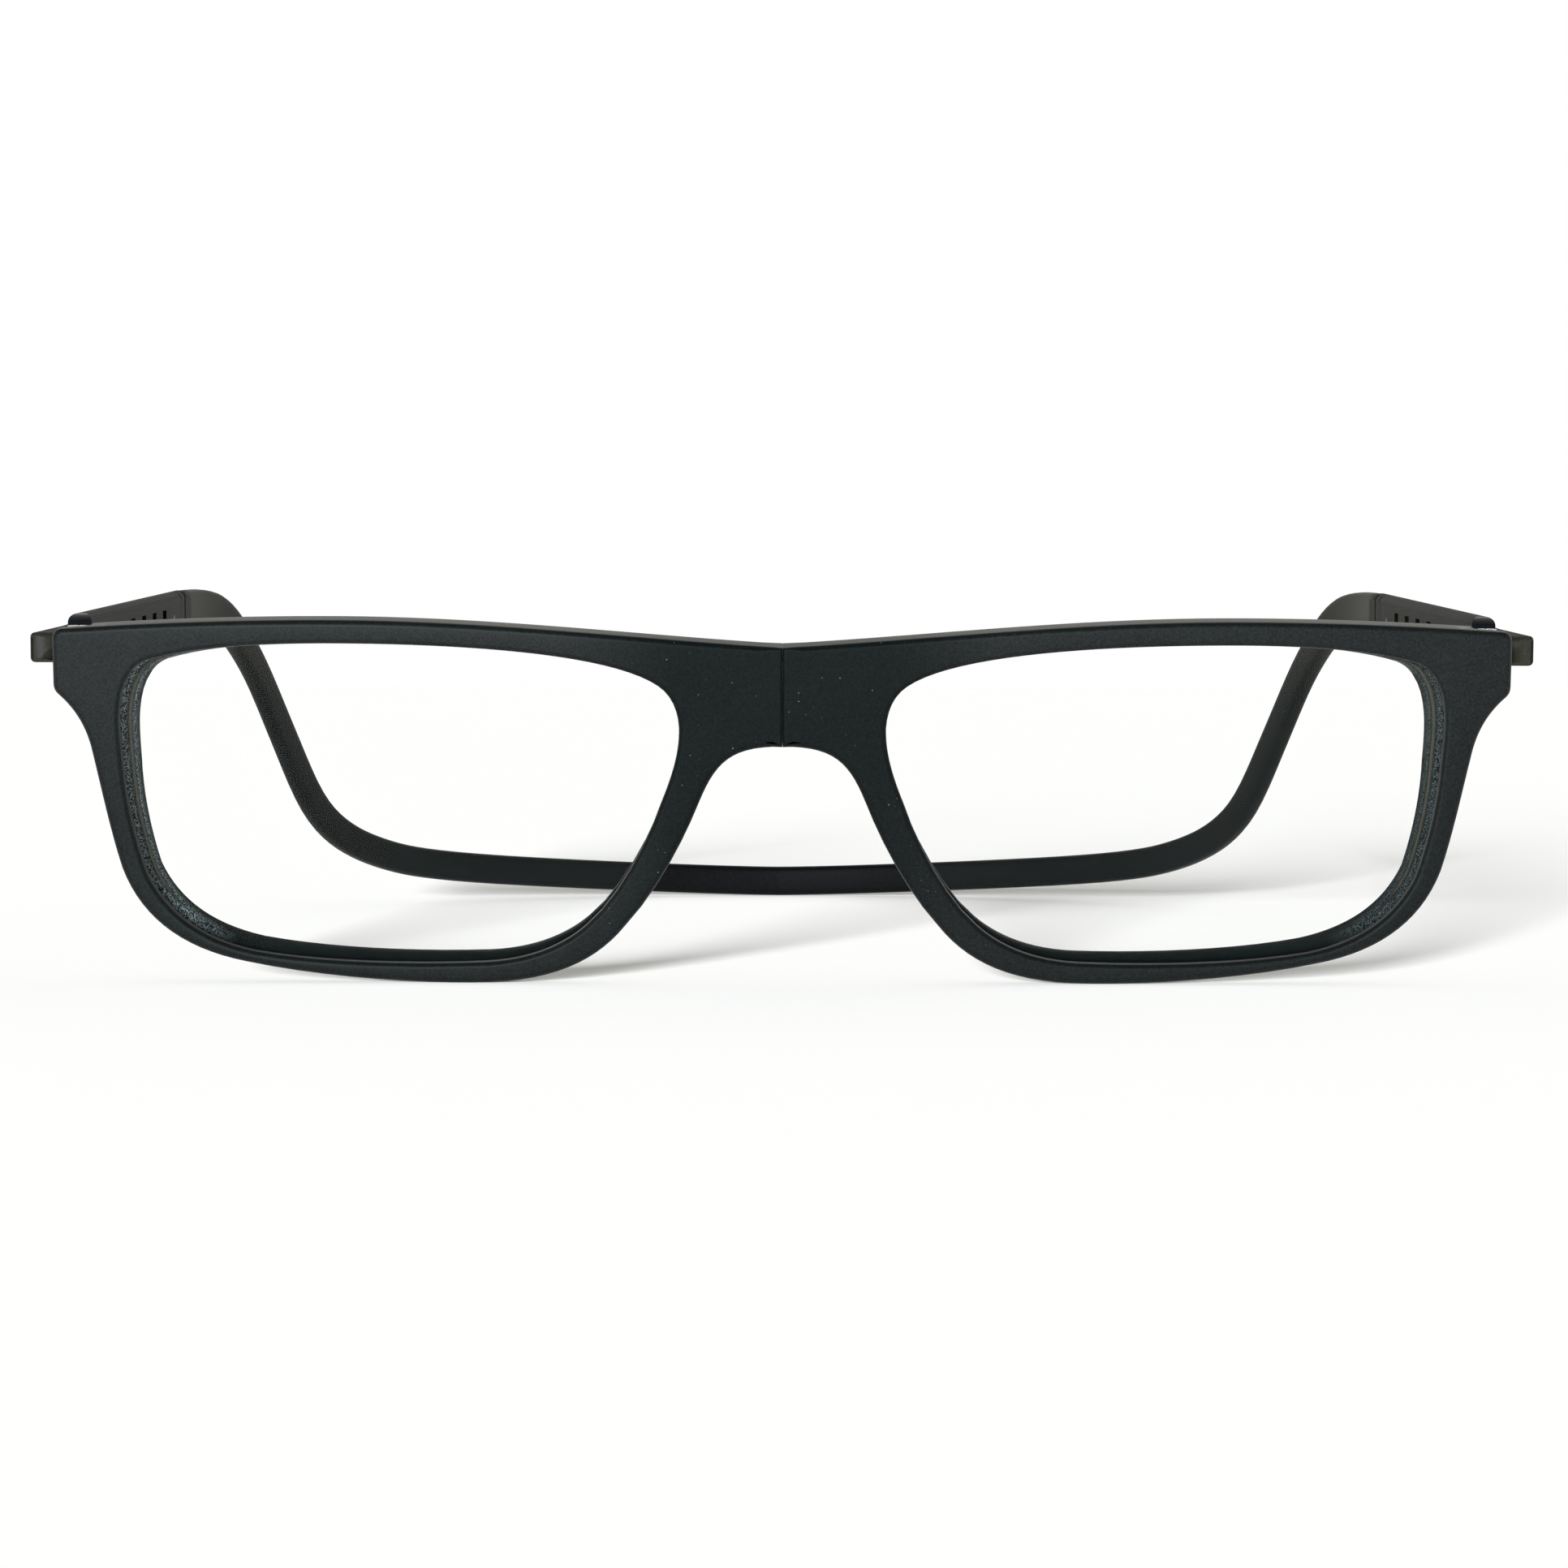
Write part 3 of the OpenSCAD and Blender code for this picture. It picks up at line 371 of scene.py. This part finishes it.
def dust_and_painted_shade(tree, place, across, rise, colour, gloss):
    """The bridge is pulled open and shut by hand and carries dust, in specks 0.1 mm wide and some
    millimetres apart. Its gloss is weaker, and that of the fronts' feet a little weaker too: painted shade,
    which darkens the bridge and the feet."""
    sizes, colours = bpy.context.scene.glasses_sizes, bpy.context.scene.glasses_colours
    across = add_node(tree, "ShaderNodeMath", {0: across}, operation="ABSOLUTE").outputs[0]
    bridge = add_node(tree, "ShaderNodeMapRange", {
        VALUE: across, FROM_LOW: sizes.bridge_dull, FROM_HIGH: sizes.bridge_clear,
        TO_LOW: 1.0, TO_HIGH: 0.0}, interpolation_type="SMOOTHSTEP").outputs[0]
    foot = add_node(tree, "ShaderNodeMapRange", {
        VALUE: rise, FROM_LOW: sizes.foot_dull, FROM_HIGH: sizes.foot_clear,
        TO_LOW: 0.45, TO_HIGH: 0.0}, interpolation_type="SMOOTHSTEP").outputs[0]
    dull = add_node(tree, "ShaderNodeMath", {0: bridge, 1: foot}, operation="MAXIMUM").outputs[0]
    # Painted shade: a weaker gloss darkens the bridge and, less, the fronts' feet.
    gloss = add_node(tree, "ShaderNodeMapRange", {
        VALUE: dull, TO_LOW: gloss, TO_HIGH: gloss * 0.4}).outputs[0]
    cells = add_node(tree, "ShaderNodeTexVoronoi", {"Vector": place, "Scale": 1 / sizes.dust_gap})
    speck = add_node(tree, "ShaderNodeMapRange", {
        VALUE: cells.outputs["Distance"], FROM_LOW: 0.04, FROM_HIGH: 0.09,
        TO_LOW: 1.0, TO_HIGH: 0.0}).outputs[0]
    # Only some of the cells hold a speck, and some of the specks are fainter.
    pick = add_node(tree, "ShaderNodeSeparateColor", {"Color": cells.outputs["Color"]}).outputs[0]
    pick = add_node(tree, "ShaderNodeMapRange", {
        VALUE: pick, FROM_LOW: 0.65, FROM_HIGH: 0.95, TO_HIGH: 0.6}).outputs[0]
    for share in (pick, bridge):
        speck = add_node(tree, "ShaderNodeMath", {0: speck, 1: share}, operation="MULTIPLY").outputs[0]
    colour = add_node(tree, "ShaderNodeMix", {SHARE: speck, FIRST: colour, SECOND: linear(colours.dust)},
                      data_type="RGBA").outputs[MIXED]
    return colour, gloss


# Spectacle plastic of index 1.5, cast, polished and coated against reflections. The two faces are
# parallel, so that what lies behind shows straight through, and the coating leaves a faint green gleam.
def clear_lens(name):
    material, tree = new_material(name)
    coating = linear(bpy.context.scene.glasses_colours.coating)
    # Nearly all light goes through, with a trace of green.
    through = add_node(tree, "ShaderNodeBsdfTransparent", {"Color": (0.998, 0.999, 0.998, 1.0)})
    mirror = add_node(tree, "ShaderNodeBsdfGlossy", {"Color": coating, "Roughness": 0.0})
    bare = add_node(tree, "ShaderNodeFresnel", {"IOR": 1.5})
    # The coating leaves this share of bare plastic's reflection.
    coated = add_node(tree, "ShaderNodeMath", {0: bare.outputs[0], 1: 0.12}, operation="MULTIPLY")
    both = add_node(tree, "ShaderNodeMixShader", {
        0: coated.outputs[0], 1: through.outputs[0], 2: mirror.outputs[0]})
    add_node(tree, "ShaderNodeOutputMaterial", {"Surface": both.outputs[0]})
    return material


# A metal part with the marks of its making: rolled or turned lines stretched along one axis, which
# draw its highlight out across them. Real lines would be too fine to show, so they are drawn coarser.
def worked_metal(name, code, roughness, line_width, along):
    material, tree = new_material(name)
    place = add_node(tree, "ShaderNodeTexCoord").outputs["Object"]
    # The marks are twenty times as long as they are wide, and darker than the metal between them.
    stretch = [1.0, 1.0, 1.0]
    stretch[along] = 1 / 20
    lines = add_node(tree, "ShaderNodeMapping", {"Vector": place, "Scale": stretch})
    marks = add_node(tree, "ShaderNodeTexNoise", {
        "Vector": lines.outputs[0], "Scale": 1 / line_width, "Detail": 2.0}).outputs[0]
    base = linear(code)
    dark = tuple(c * 0.7 for c in base[:3]) + (1.0,)
    share = add_node(tree, "ShaderNodeMapRange", {
        VALUE: marks, FROM_LOW: 0.35, FROM_HIGH: 0.65, TO_HIGH: 0.6}).outputs[0]
    colour = add_node(tree, "ShaderNodeMix", {SHARE: share, FIRST: base, SECOND: dark},
                      data_type="RGBA").outputs[MIXED]
    rough = add_node(tree, "ShaderNodeMapRange", {
        VALUE: marks, FROM_LOW: 0.3, FROM_HIGH: 0.7, TO_LOW: roughness, TO_HIGH: roughness + 0.12})
    bump = add_node(tree, "ShaderNodeBump", {"Height": marks, "Strength": 0.1, "Distance": 0.02 * MM})
    metal = add_node(tree, "ShaderNodeBsdfPrincipled", {
        "Base Color": colour, "Metallic": 1.0, "Roughness": rough.outputs[0],
        "Normal": bump.outputs[0]})
    add_node(tree, "ShaderNodeOutputMaterial", {"Surface": metal.outputs[0]})
    return material


# Shapes

def merged_copy(node, whole_flats=True):
    """A bmesh copy of a node's solid, with its loose triangles joined, its slivers gone and its flats
    made whole."""
    bm = bmesh.new()
    bm.from_mesh(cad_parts[node].data)
    bmesh.ops.remove_doubles(bm, verts=bm.verts, dist=0.002 * MM)
    bmesh.ops.dissolve_degenerate(bm, dist=0.01 * MM, edges=bm.edges)
    if whole_flats:
        bmesh.ops.dissolve_limit(bm, angle_limit=math.radians(0.5), verts=bm.verts, edges=bm.edges)
    return bm


def sharp_edges(bm, angle=CORNER):
    """The edges whose two faces turn by more than the angle."""
    return [e for e in bm.edges if len(e.link_faces) == 2 and e.calc_face_angle(0.0) > angle]


def round_edges(bm, edges, radius, segments, clamped=True):
    """Rounds edges with a bevel, which gives way to short neighbours where it is clamped."""
    bmesh.ops.bevel(bm, geom=edges, offset=radius, offset_type="OFFSET", segments=segments, profile=0.5,
                    affect="EDGES", clamp_overlap=clamped, material=-1)


def finish_piece(bm, name, materials, node, body=None, smoothing=0):
    """Makes the bmesh a shaded object that stands for a node, and rides it on its body."""
    mesh = bpy.data.meshes.new(name)
    for face in bm.faces:
        face.smooth = True
    bm.to_mesh(mesh)
    bm.free()
    mesh.set_sharp_from_angle(angle=bpy.context.scene.glasses_sizes.smooth_angle)
    for material in materials:
        mesh.materials.append(material)
    piece = bpy.data.objects.new(name, mesh)
    bpy.context.scene.collection.objects.link(piece)
    if smoothing:
        rounder = piece.modifiers.new("Rounder", "SUBSURF")
        rounder.levels = rounder.render_levels = smoothing
    level = piece.modifiers.new("Even shading", "WEIGHTED_NORMAL")
    level.keep_sharp = True
    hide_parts(node)
    if body:
        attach(piece, body)
    return piece


def dress(node, material):
    """Gives a node that is shown as it is its material."""
    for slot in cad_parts[node].material_slots:
        slot.material = material


class GLASSES_OT_half_fronts(bpy.types.Operator):
    """Makes the two moulded half fronts, with grained walls round the lenses"""
    bl_idname = "glasses.half_fronts"
    bl_label = "Half fronts"

    def execute(self, context):
        sizes, colours = context.scene.glasses_sizes, context.scene.glasses_colours
        material = moulded_nylon("moulded nylon front", colours.nylon, roughness=0.42, gloss=0.22,
                                 sheen=0.1, depth=0.25, front=True)
        for side in SIDES:
            bm = merged_copy("front_" + side, whole_flats=False)
            self.mark_walls(bm, sizes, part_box("lens_" + side))
            self.close_seam(bm, sizes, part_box("hinge_screw_" + side))
            finish_piece(bm, "half_front_" + side, [material], "front_" + side,
                         "front_" + side)
        return {"FINISHED"}

    @staticmethod
    def mark_walls(bm, sizes, lens):
        """Marks the walls behind the lens on the temple side, and the edge there that the lens rests on."""
        slack, ring_slack, edge_angle = 0.1 * MM, 0.05 * MM, 0.5
        # The marks, which carry the walls' painted highlight, fade in over these shares of the lens's half
        # width, towards the temple.
        fade_from, fade_over = 0.55, 0.3
        wall = bm.verts.layers.float.new("wall")
        seat = bm.verts.layers.float.new("seat")
        lean = sizes.front_lean
        depth = {v: v.co.y * math.cos(lean) + v.co.z * math.sin(lean)
                 - v.co.x ** 2 / (2 * sizes.front_curve) for v in bm.verts}
        face = min(depth.values())
        middle, reach = (Vector(lens[0]) + Vector(lens[1])) / 2, (lens[1][0] - lens[0][0]) / 2
        bm.normal_update()
        for vert, place in depth.items():
            outward = (abs(vert.co.x) - abs(middle.x)) / reach
            strength = min(1.0, max(0.0, (outward - fade_from) / fade_over))
            beside = all(lens[0][i] - sizes.wall_room < vert.co[i] < lens[1][i] + sizes.wall_room
                         for i in (0, 2))
            inward = vert.normal.dot(middle - vert.co) > 0
            behind = place - face - sizes.seat_depth
            if beside and inward and -slack < behind < sizes.wall_end - sizes.seat_depth:
                vert[wall] = strength
                ring = [e for e in vert.link_edges
                        if len(e.link_faces) == 2 and abs(depth[e.other_vert(vert)] - place) < ring_slack]
                turned = [e for e in ring if e.is_convex and e.calc_face_angle(0.0) > edge_angle]
                if behind < slack and turned:
                    vert[seat] = strength

    @staticmethod
    def close_seam(bm, sizes, screw):
        """Brings the seam's curved face flat to the middle, where the magnets hold the halves together.
        The seam's face lies on a circle round the hinge, so that it clears the other half as it swings."""
        hinge = (Vector(screw[0]) + Vector(screw[1])) / 2
        swing = abs(hinge.x) - sizes.seam_gap / 2
        for vert in bm.verts:
            share = (sizes.seam_reach - abs(vert.co.x)) / (sizes.seam_reach - sizes.seam_flat)
            if share > 0:
                back = vert.co - hinge
                back = back.y * math.cos(sizes.arm_tilt) + back.z * math.sin(sizes.arm_tilt)
                gap = sizes.seam_gap / 2 + swing - math.sqrt(swing ** 2 - back ** 2) - sizes.seam
                vert.co.x -= math.copysign(gap * min(1.0, share), vert.co.x)


class GLASSES_OT_lenses(bpy.types.Operator):
    """Makes the two clear lenses"""
    bl_idname = "glasses.lenses"
    bl_label = "Lenses"

    def execute(self, context):
        material = clear_lens("cast clear lens plastic")
        for side in SIDES:
            bm = merged_copy("lens_" + side)
            finish_piece(bm, "clear_lens_" + side, [material], "lens_" + side, "front_" + side)
        return {"FINISHED"}


class GLASSES_OT_arms(bpy.types.Operator):
    """Makes the side arms with their sleeves, and the sliders"""
    bl_idname = "glasses.arms"
    bl_label = "Arms and sliders"

    def execute(self, context):
        sizes, colours = context.scene.glasses_sizes, context.scene.glasses_colours
        arm = moulded_nylon("moulded nylon arm", colours.arm_nylon, roughness=0.55, gloss=0.075)
        # The sleeve's front end is moulded against polished steel, so that it shows a small highlight. Its
        # colour is darker and cooler than the arm's: painted shade on the face turned to the front.
        sleeve = moulded_nylon("nylon sleeve end with painted shade", colours.sleeve_end_shade, roughness=0.2, gloss=0.25)
        # The arm's front end is painted paler: painted light, from the white floor below it.
        painted_light = moulded_nylon("nylon arm end with painted light", colours.arm_end_light, roughness=0.4, gloss=0.2)
        for side in SIDES:
            bm = merged_copy("temple_" + side)
            self.round_arm(bm, sizes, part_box("temple_" + side))
            finish_piece(bm, "arm_" + side, [arm, sleeve, painted_light], "temple_" + side,
                         "temple_" + side)
            bm = merged_copy("slider_" + side)
            round_edges(bm, sharp_edges(bm), sizes.edge_round, segments=2)
            finish_piece(bm, "slide_" + side, [arm], "slider_" + side, "slider_" + side)
        return {"FINISHED"}

    @staticmethod
    def round_arm(bm, sizes, box):
        """Rounds the arm's outer edges well and its other edges a little, and marks the arm's front end for
        its painted light and the sleeve's front end for its painted shade."""
        slack = 0.5 * MM
        front = box[0][1]
        sleeve_front = front + sizes.arm_length
        outside = max(abs(box[0][0]), abs(box[1][0])) - sizes.arm_width
        corner = [e for e in sharp_edges(bm) if all(v.co.y < sleeve_front - 2 * slack for v in e.verts)
                  and abs(e.verts[0].co.x + e.verts[1].co.x) / 2 > outside]
        round_edges(bm, corner, sizes.arm_edge_round, segments=4, clamped=False)
        round_edges(bm, [e for e in sharp_edges(bm) if e.calc_length() > sizes.edge_round],
                    sizes.edge_round, segments=2)
        # Index 1 carries the sleeve end's painted shade, index 2 the arm end's painted light.
        for face in bm.faces:
            place = face.calc_center_median().y
            if -slack < place - sleeve_front < sizes.sleeve_end_length:
                face.material_index = 1
            elif place - front < sizes.arm_end_depth:
                face.material_index = 2


class GLASSES_OT_headband(bpy.types.Operator):
    """Makes the headband in two halves"""
    bl_idname = "glasses.headband"
    bl_label = "Headband"

    def execute(self, context):
        sizes, colours = context.scene.glasses_sizes, context.scene.glasses_colours
        material = moulded_nylon("flexible nylon band", colours.band_nylon, roughness=0.48, gloss=0.1,
                                 sheen=0.08, depth=0.02, upper=colours.arm_nylon)
        for side in SIDES:
            sign = 1 if side == "right" else -1
            bm = self.half_band(sign, sizes)
            piece = finish_piece(bm, "band_half_" + side, [material], "headband",
                                 smoothing=1)
            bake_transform(piece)
        return {"FINISHED"}

    @staticmethod
    def half_band(sign, sizes):
        """One half of the band, cut and closed in the middle, where it stays sharp, with a rounded end."""
        bm = merged_copy("headband", whole_flats=False)
        crease = bm.edges.layers.float.new("crease_edge")
        # Triangles are joined to a quad that is bent or skewed by no more than this, in radians.
        most = 0.6
        bmesh.ops.join_triangles(bm, faces=bm.faces, angle_face_threshold=most, angle_shape_threshold=most)
        cut = bmesh.ops.bisect_plane(
            bm, geom=bm.verts[:] + bm.edges[:] + bm.faces[:], dist=0.001 * MM, plane_co=(0, 0, 0),
            plane_no=(-sign, 0, 0), clear_outer=True)
        rim = [e for e in cut["geom_cut"] if isinstance(e, bmesh.types.BMEdge)]
        bmesh.ops.contextual_create(bm, geom=rim)
        for edge in rim:
            edge[crease] = 1.0
        end_corner = math.radians(60)
        end = [e for e in sharp_edges(bm, end_corner) if e not in rim]
        round_edges(bm, end, sizes.edge_round, segments=2)
        return bm


class GLASSES_OT_metal(bpy.types.Operator):
    """Finishes the hinge leaves, screws, pins, springs and magnets"""
    bl_idname = "glasses.metal"
    bl_label = "Metal parts"

    def execute(self, context):
        x, y = 0, 1
        # Nickel silver strip, stamped: rolled lines along its length.
        leaf = worked_metal("stamped nickel silver", "b9b6ac", 0.32, 0.12 * MM, y)
        # Stainless steel, turned: fine rings, brighter than the leaves.
        screw = worked_metal("turned stainless steel", "c9c9c8", 0.22, 0.08 * MM, x)
        # Stainless pin, ground and blackened, so that it is lost in the arm.
        pin = worked_metal("blackened steel pin", "34322f", 0.4, 0.08 * MM, x)
        # Spring steel strip, rolled and blued, which leaves it a dark, cool grey.
        spring = worked_metal("blued spring steel", "5c636b", 0.3, 0.1 * MM, y)
        # Neodymium magnet with bright nickel plating, nearly a mirror.
        magnet = worked_metal("nickel plated magnet", "bcbab4", 0.18, 0.2 * MM, y)
        for side in SIDES:
            dress("hinge_front_leaf_" + side, leaf)
            dress("hinge_temple_leaf_" + side, leaf)
            dress("hinge_screw_" + side, screw)
            dress("stop_pin_" + side, pin)
            dress("detent_spring_" + side, spring)
            dress("magnet_" + side, magnet)
        return {"FINISHED"}


class GLASSES_OT_stage(bpy.types.Operator):
    """Makes the white floor, the light tent, the lamps and the camera"""
    bl_idname = "glasses.stage"
    bl_label = "Stage"

    def execute(self, context):
        scene = context.scene
        stage = scene.glasses_stage
        floor = self.floor(scene, stage)
        self.tent(scene, stage)
        self.lamps(scene, stage, floor)
        self.camera(scene, stage)
        scene.view_settings.view_transform = "Standard"
        return {"FINISHED"}

    @staticmethod
    def floor(scene, stage):
        """Matt white paper. A little glow, for the camera, mirrors and glass alone, lifts it to white
        and keeps its shadows."""
        bm = bmesh.new()
        bmesh.ops.create_grid(bm, x_segments=1, y_segments=1, size=stage.paper_size)
        mesh = bpy.data.meshes.new("paper floor")
        bm.to_mesh(mesh)
        bm.free()
        material, tree = new_material("matt white paper")
        paper = add_node(tree, "ShaderNodeBsdfDiffuse", {"Color": linear(scene.glasses_colours.paper)})
        path = add_node(tree, "ShaderNodeLightPath").outputs
        seen = path["Is Camera Ray"]
        for ray in ("Is Glossy Ray", "Is Transmission Ray"):
            seen = add_node(tree, "ShaderNodeMath", {0: seen, 1: path[ray]}, operation="MAXIMUM").outputs[0]
        glow = add_node(tree, "ShaderNodeMath", {0: seen, 1: stage.glow}, operation="MULTIPLY")
        lift = add_node(tree, "ShaderNodeEmission", {"Color": WHITE, "Strength": glow.outputs[0]})
        both = add_node(tree, "ShaderNodeAddShader", {0: paper.outputs[0], 1: lift.outputs[0]})
        add_node(tree, "ShaderNodeOutputMaterial", {"Surface": both.outputs[0]})
        mesh.materials.append(material)
        floor = bpy.data.objects.new("paper_floor", mesh)
        scene.collection.objects.link(floor)
        return floor

    @staticmethod
    def tent(scene, stage):
        """A white background, and a tent whose light is warm from behind, and cool and dim in front.
        Mirrors show the white background behind the glasses, and the dim tent in front of them."""
        world = bpy.data.worlds.new("light tent")
        world.use_nodes = True
        tree = world.node_tree
        tree.nodes.clear()
        way = add_node(tree, "ShaderNodeTexCoord").outputs["Generated"]
        way = add_node(tree, "ShaderNodeSeparateXYZ", {"Vector": way}).outputs
        back = add_node(tree, "ShaderNodeMapRange", {
            VALUE: way["Y"], FROM_LOW: -0.95, FROM_HIGH: 0.5, TO_LOW: stage.front}).outputs[0]
        roof = add_node(tree, "ShaderNodeMapRange", {
            VALUE: way["Z"], FROM_LOW: 0.3, FROM_HIGH: 0.9, TO_LOW: 1.0, TO_HIGH: stage.roof}).outputs[0]
        tent = add_node(tree, "ShaderNodeMath", {0: back, 1: roof}, operation="MULTIPLY").outputs[0]
        light = add_node(tree, "ShaderNodeMath", {0: tent, 1: stage.sky}, operation="MULTIPLY").outputs[0]
        tint = add_node(tree, "ShaderNodeMix", {
            SHARE: back, FIRST: linear(stage.cool), SECOND: linear(stage.warm)},
            data_type="RGBA").outputs[MIXED]
        soft = add_node(tree, "ShaderNodeBackground", {"Color": tint, "Strength": light})
        white = add_node(tree, "ShaderNodeBackground", {"Color": WHITE, "Strength": 1.0})
        path = add_node(tree, "ShaderNodeLightPath").outputs
        behind = add_node(tree, "ShaderNodeMath", {0: tent, 1: tent}, operation="MULTIPLY").outputs[0]
        mirrored = add_node(tree, "ShaderNodeMath", {0: path["Is Glossy Ray"], 1: behind},
                            operation="MULTIPLY").outputs[0]
        seen = path["Is Camera Ray"]
        for share in (path["Is Transmission Ray"], mirrored):
            seen = add_node(tree, "ShaderNodeMath", {0: seen, 1: share}, operation="MAXIMUM").outputs[0]
        both = add_node(tree, "ShaderNodeMixShader", {0: seen, 1: soft.outputs[0], 2: white.outputs[0]})
        add_node(tree, "ShaderNodeOutputWorld", {"Surface": both.outputs[0]})
        scene.world = world

    @staticmethod
    def lamps(scene, stage, floor):
        """A soft key, low on the front left, and a lamp beside it for the paper alone, which gives the
        shadows their strength while the glasses stay at a plain light level."""
        paper = bpy.data.collections.new("paper")
        paper.objects.link(floor)
        for name, strength, colour, lit in (
                ("soft_key", stage.key, linear(stage.key_colour), None),
                ("paper_key", stage.paper_key, WHITE, paper)):
            lamp = bpy.data.lights.new(name, "SUN")
            lamp.energy = strength
            lamp.angle = stage.key_softness
            lamp.color = colour[:3]
            key = bpy.data.objects.new(name, lamp)
            key.rotation_euler = (math.pi / 2 - stage.key_rise, 0.0, -stage.key_turn)
            key.light_linking.receiver_collection = lit
            scene.collection.objects.link(key)

    @staticmethod
    def camera(scene, stage):
        """The camera, low before the glasses, and turned a little as in the photo."""
        eye = bpy.data.cameras.new("camera")
        eye.sensor_fit = "HORIZONTAL"
        eye.angle = stage.view_angle
        eye.clip_start, eye.clip_end = 0.01, 100.0
        holder = bpy.data.objects.new("camera", eye)
        front = CAD_BOX[0][1]
        place = Vector((0.0, front - stage.distance, stage.height))
        place.rotate(Euler((0, 0, -stage.orbit)))
        turn = (Matrix.Rotation(-stage.heading, 4, "Z")
                @ Matrix.Rotation(math.radians(90) - stage.pitch, 4, "X")
                @ Matrix.Rotation(stage.roll, 4, "Z"))
        holder.matrix_world = Matrix.Translation(place) @ turn
        scene.collection.objects.link(holder)
        scene.camera = holder


class GLASSES_PT_panel(bpy.types.Panel):
    """Lists the settings and the steps that dress the glasses"""
    bl_idname = "GLASSES_PT_panel"
    bl_label = "Reading glasses"
    bl_space_type = "VIEW_3D"
    bl_region_type = "UI"
    bl_category = "Glasses"

    def draw(self, context):
        for group_name in GROUPS:
            group = getattr(context.scene, group_name)
            box = self.layout.box()
            for name in group.__annotations__:
                box.prop(group, name)
        for step in STEPS:
            self.layout.operator(step.bl_idname)


GROUPS = {"glasses_sizes": GlassesSizes, "glasses_colours": GlassesColours, "glasses_stage": GlassesStage}
STEPS = (GLASSES_OT_half_fronts, GLASSES_OT_lenses, GLASSES_OT_arms, GLASSES_OT_headband,
         GLASSES_OT_metal, GLASSES_OT_stage)


def register():
    for kind in (*GROUPS.values(), *STEPS, GLASSES_PT_panel):
        bpy.utils.register_class(kind)
    for name, group in GROUPS.items():
        setattr(bpy.types.Scene, name, bpy.props.PointerProperty(type=group))


def unregister():
    for name in GROUPS:
        delattr(bpy.types.Scene, name)
    for kind in reversed((*GROUPS.values(), *STEPS, GLASSES_PT_panel)):
        bpy.utils.unregister_class(kind)


def main():
    register()
    for step in STEPS:
        group, name = step.bl_idname.split(".")
        getattr(getattr(bpy.ops, group), name)()


if __name__ == "__main__":
    main()
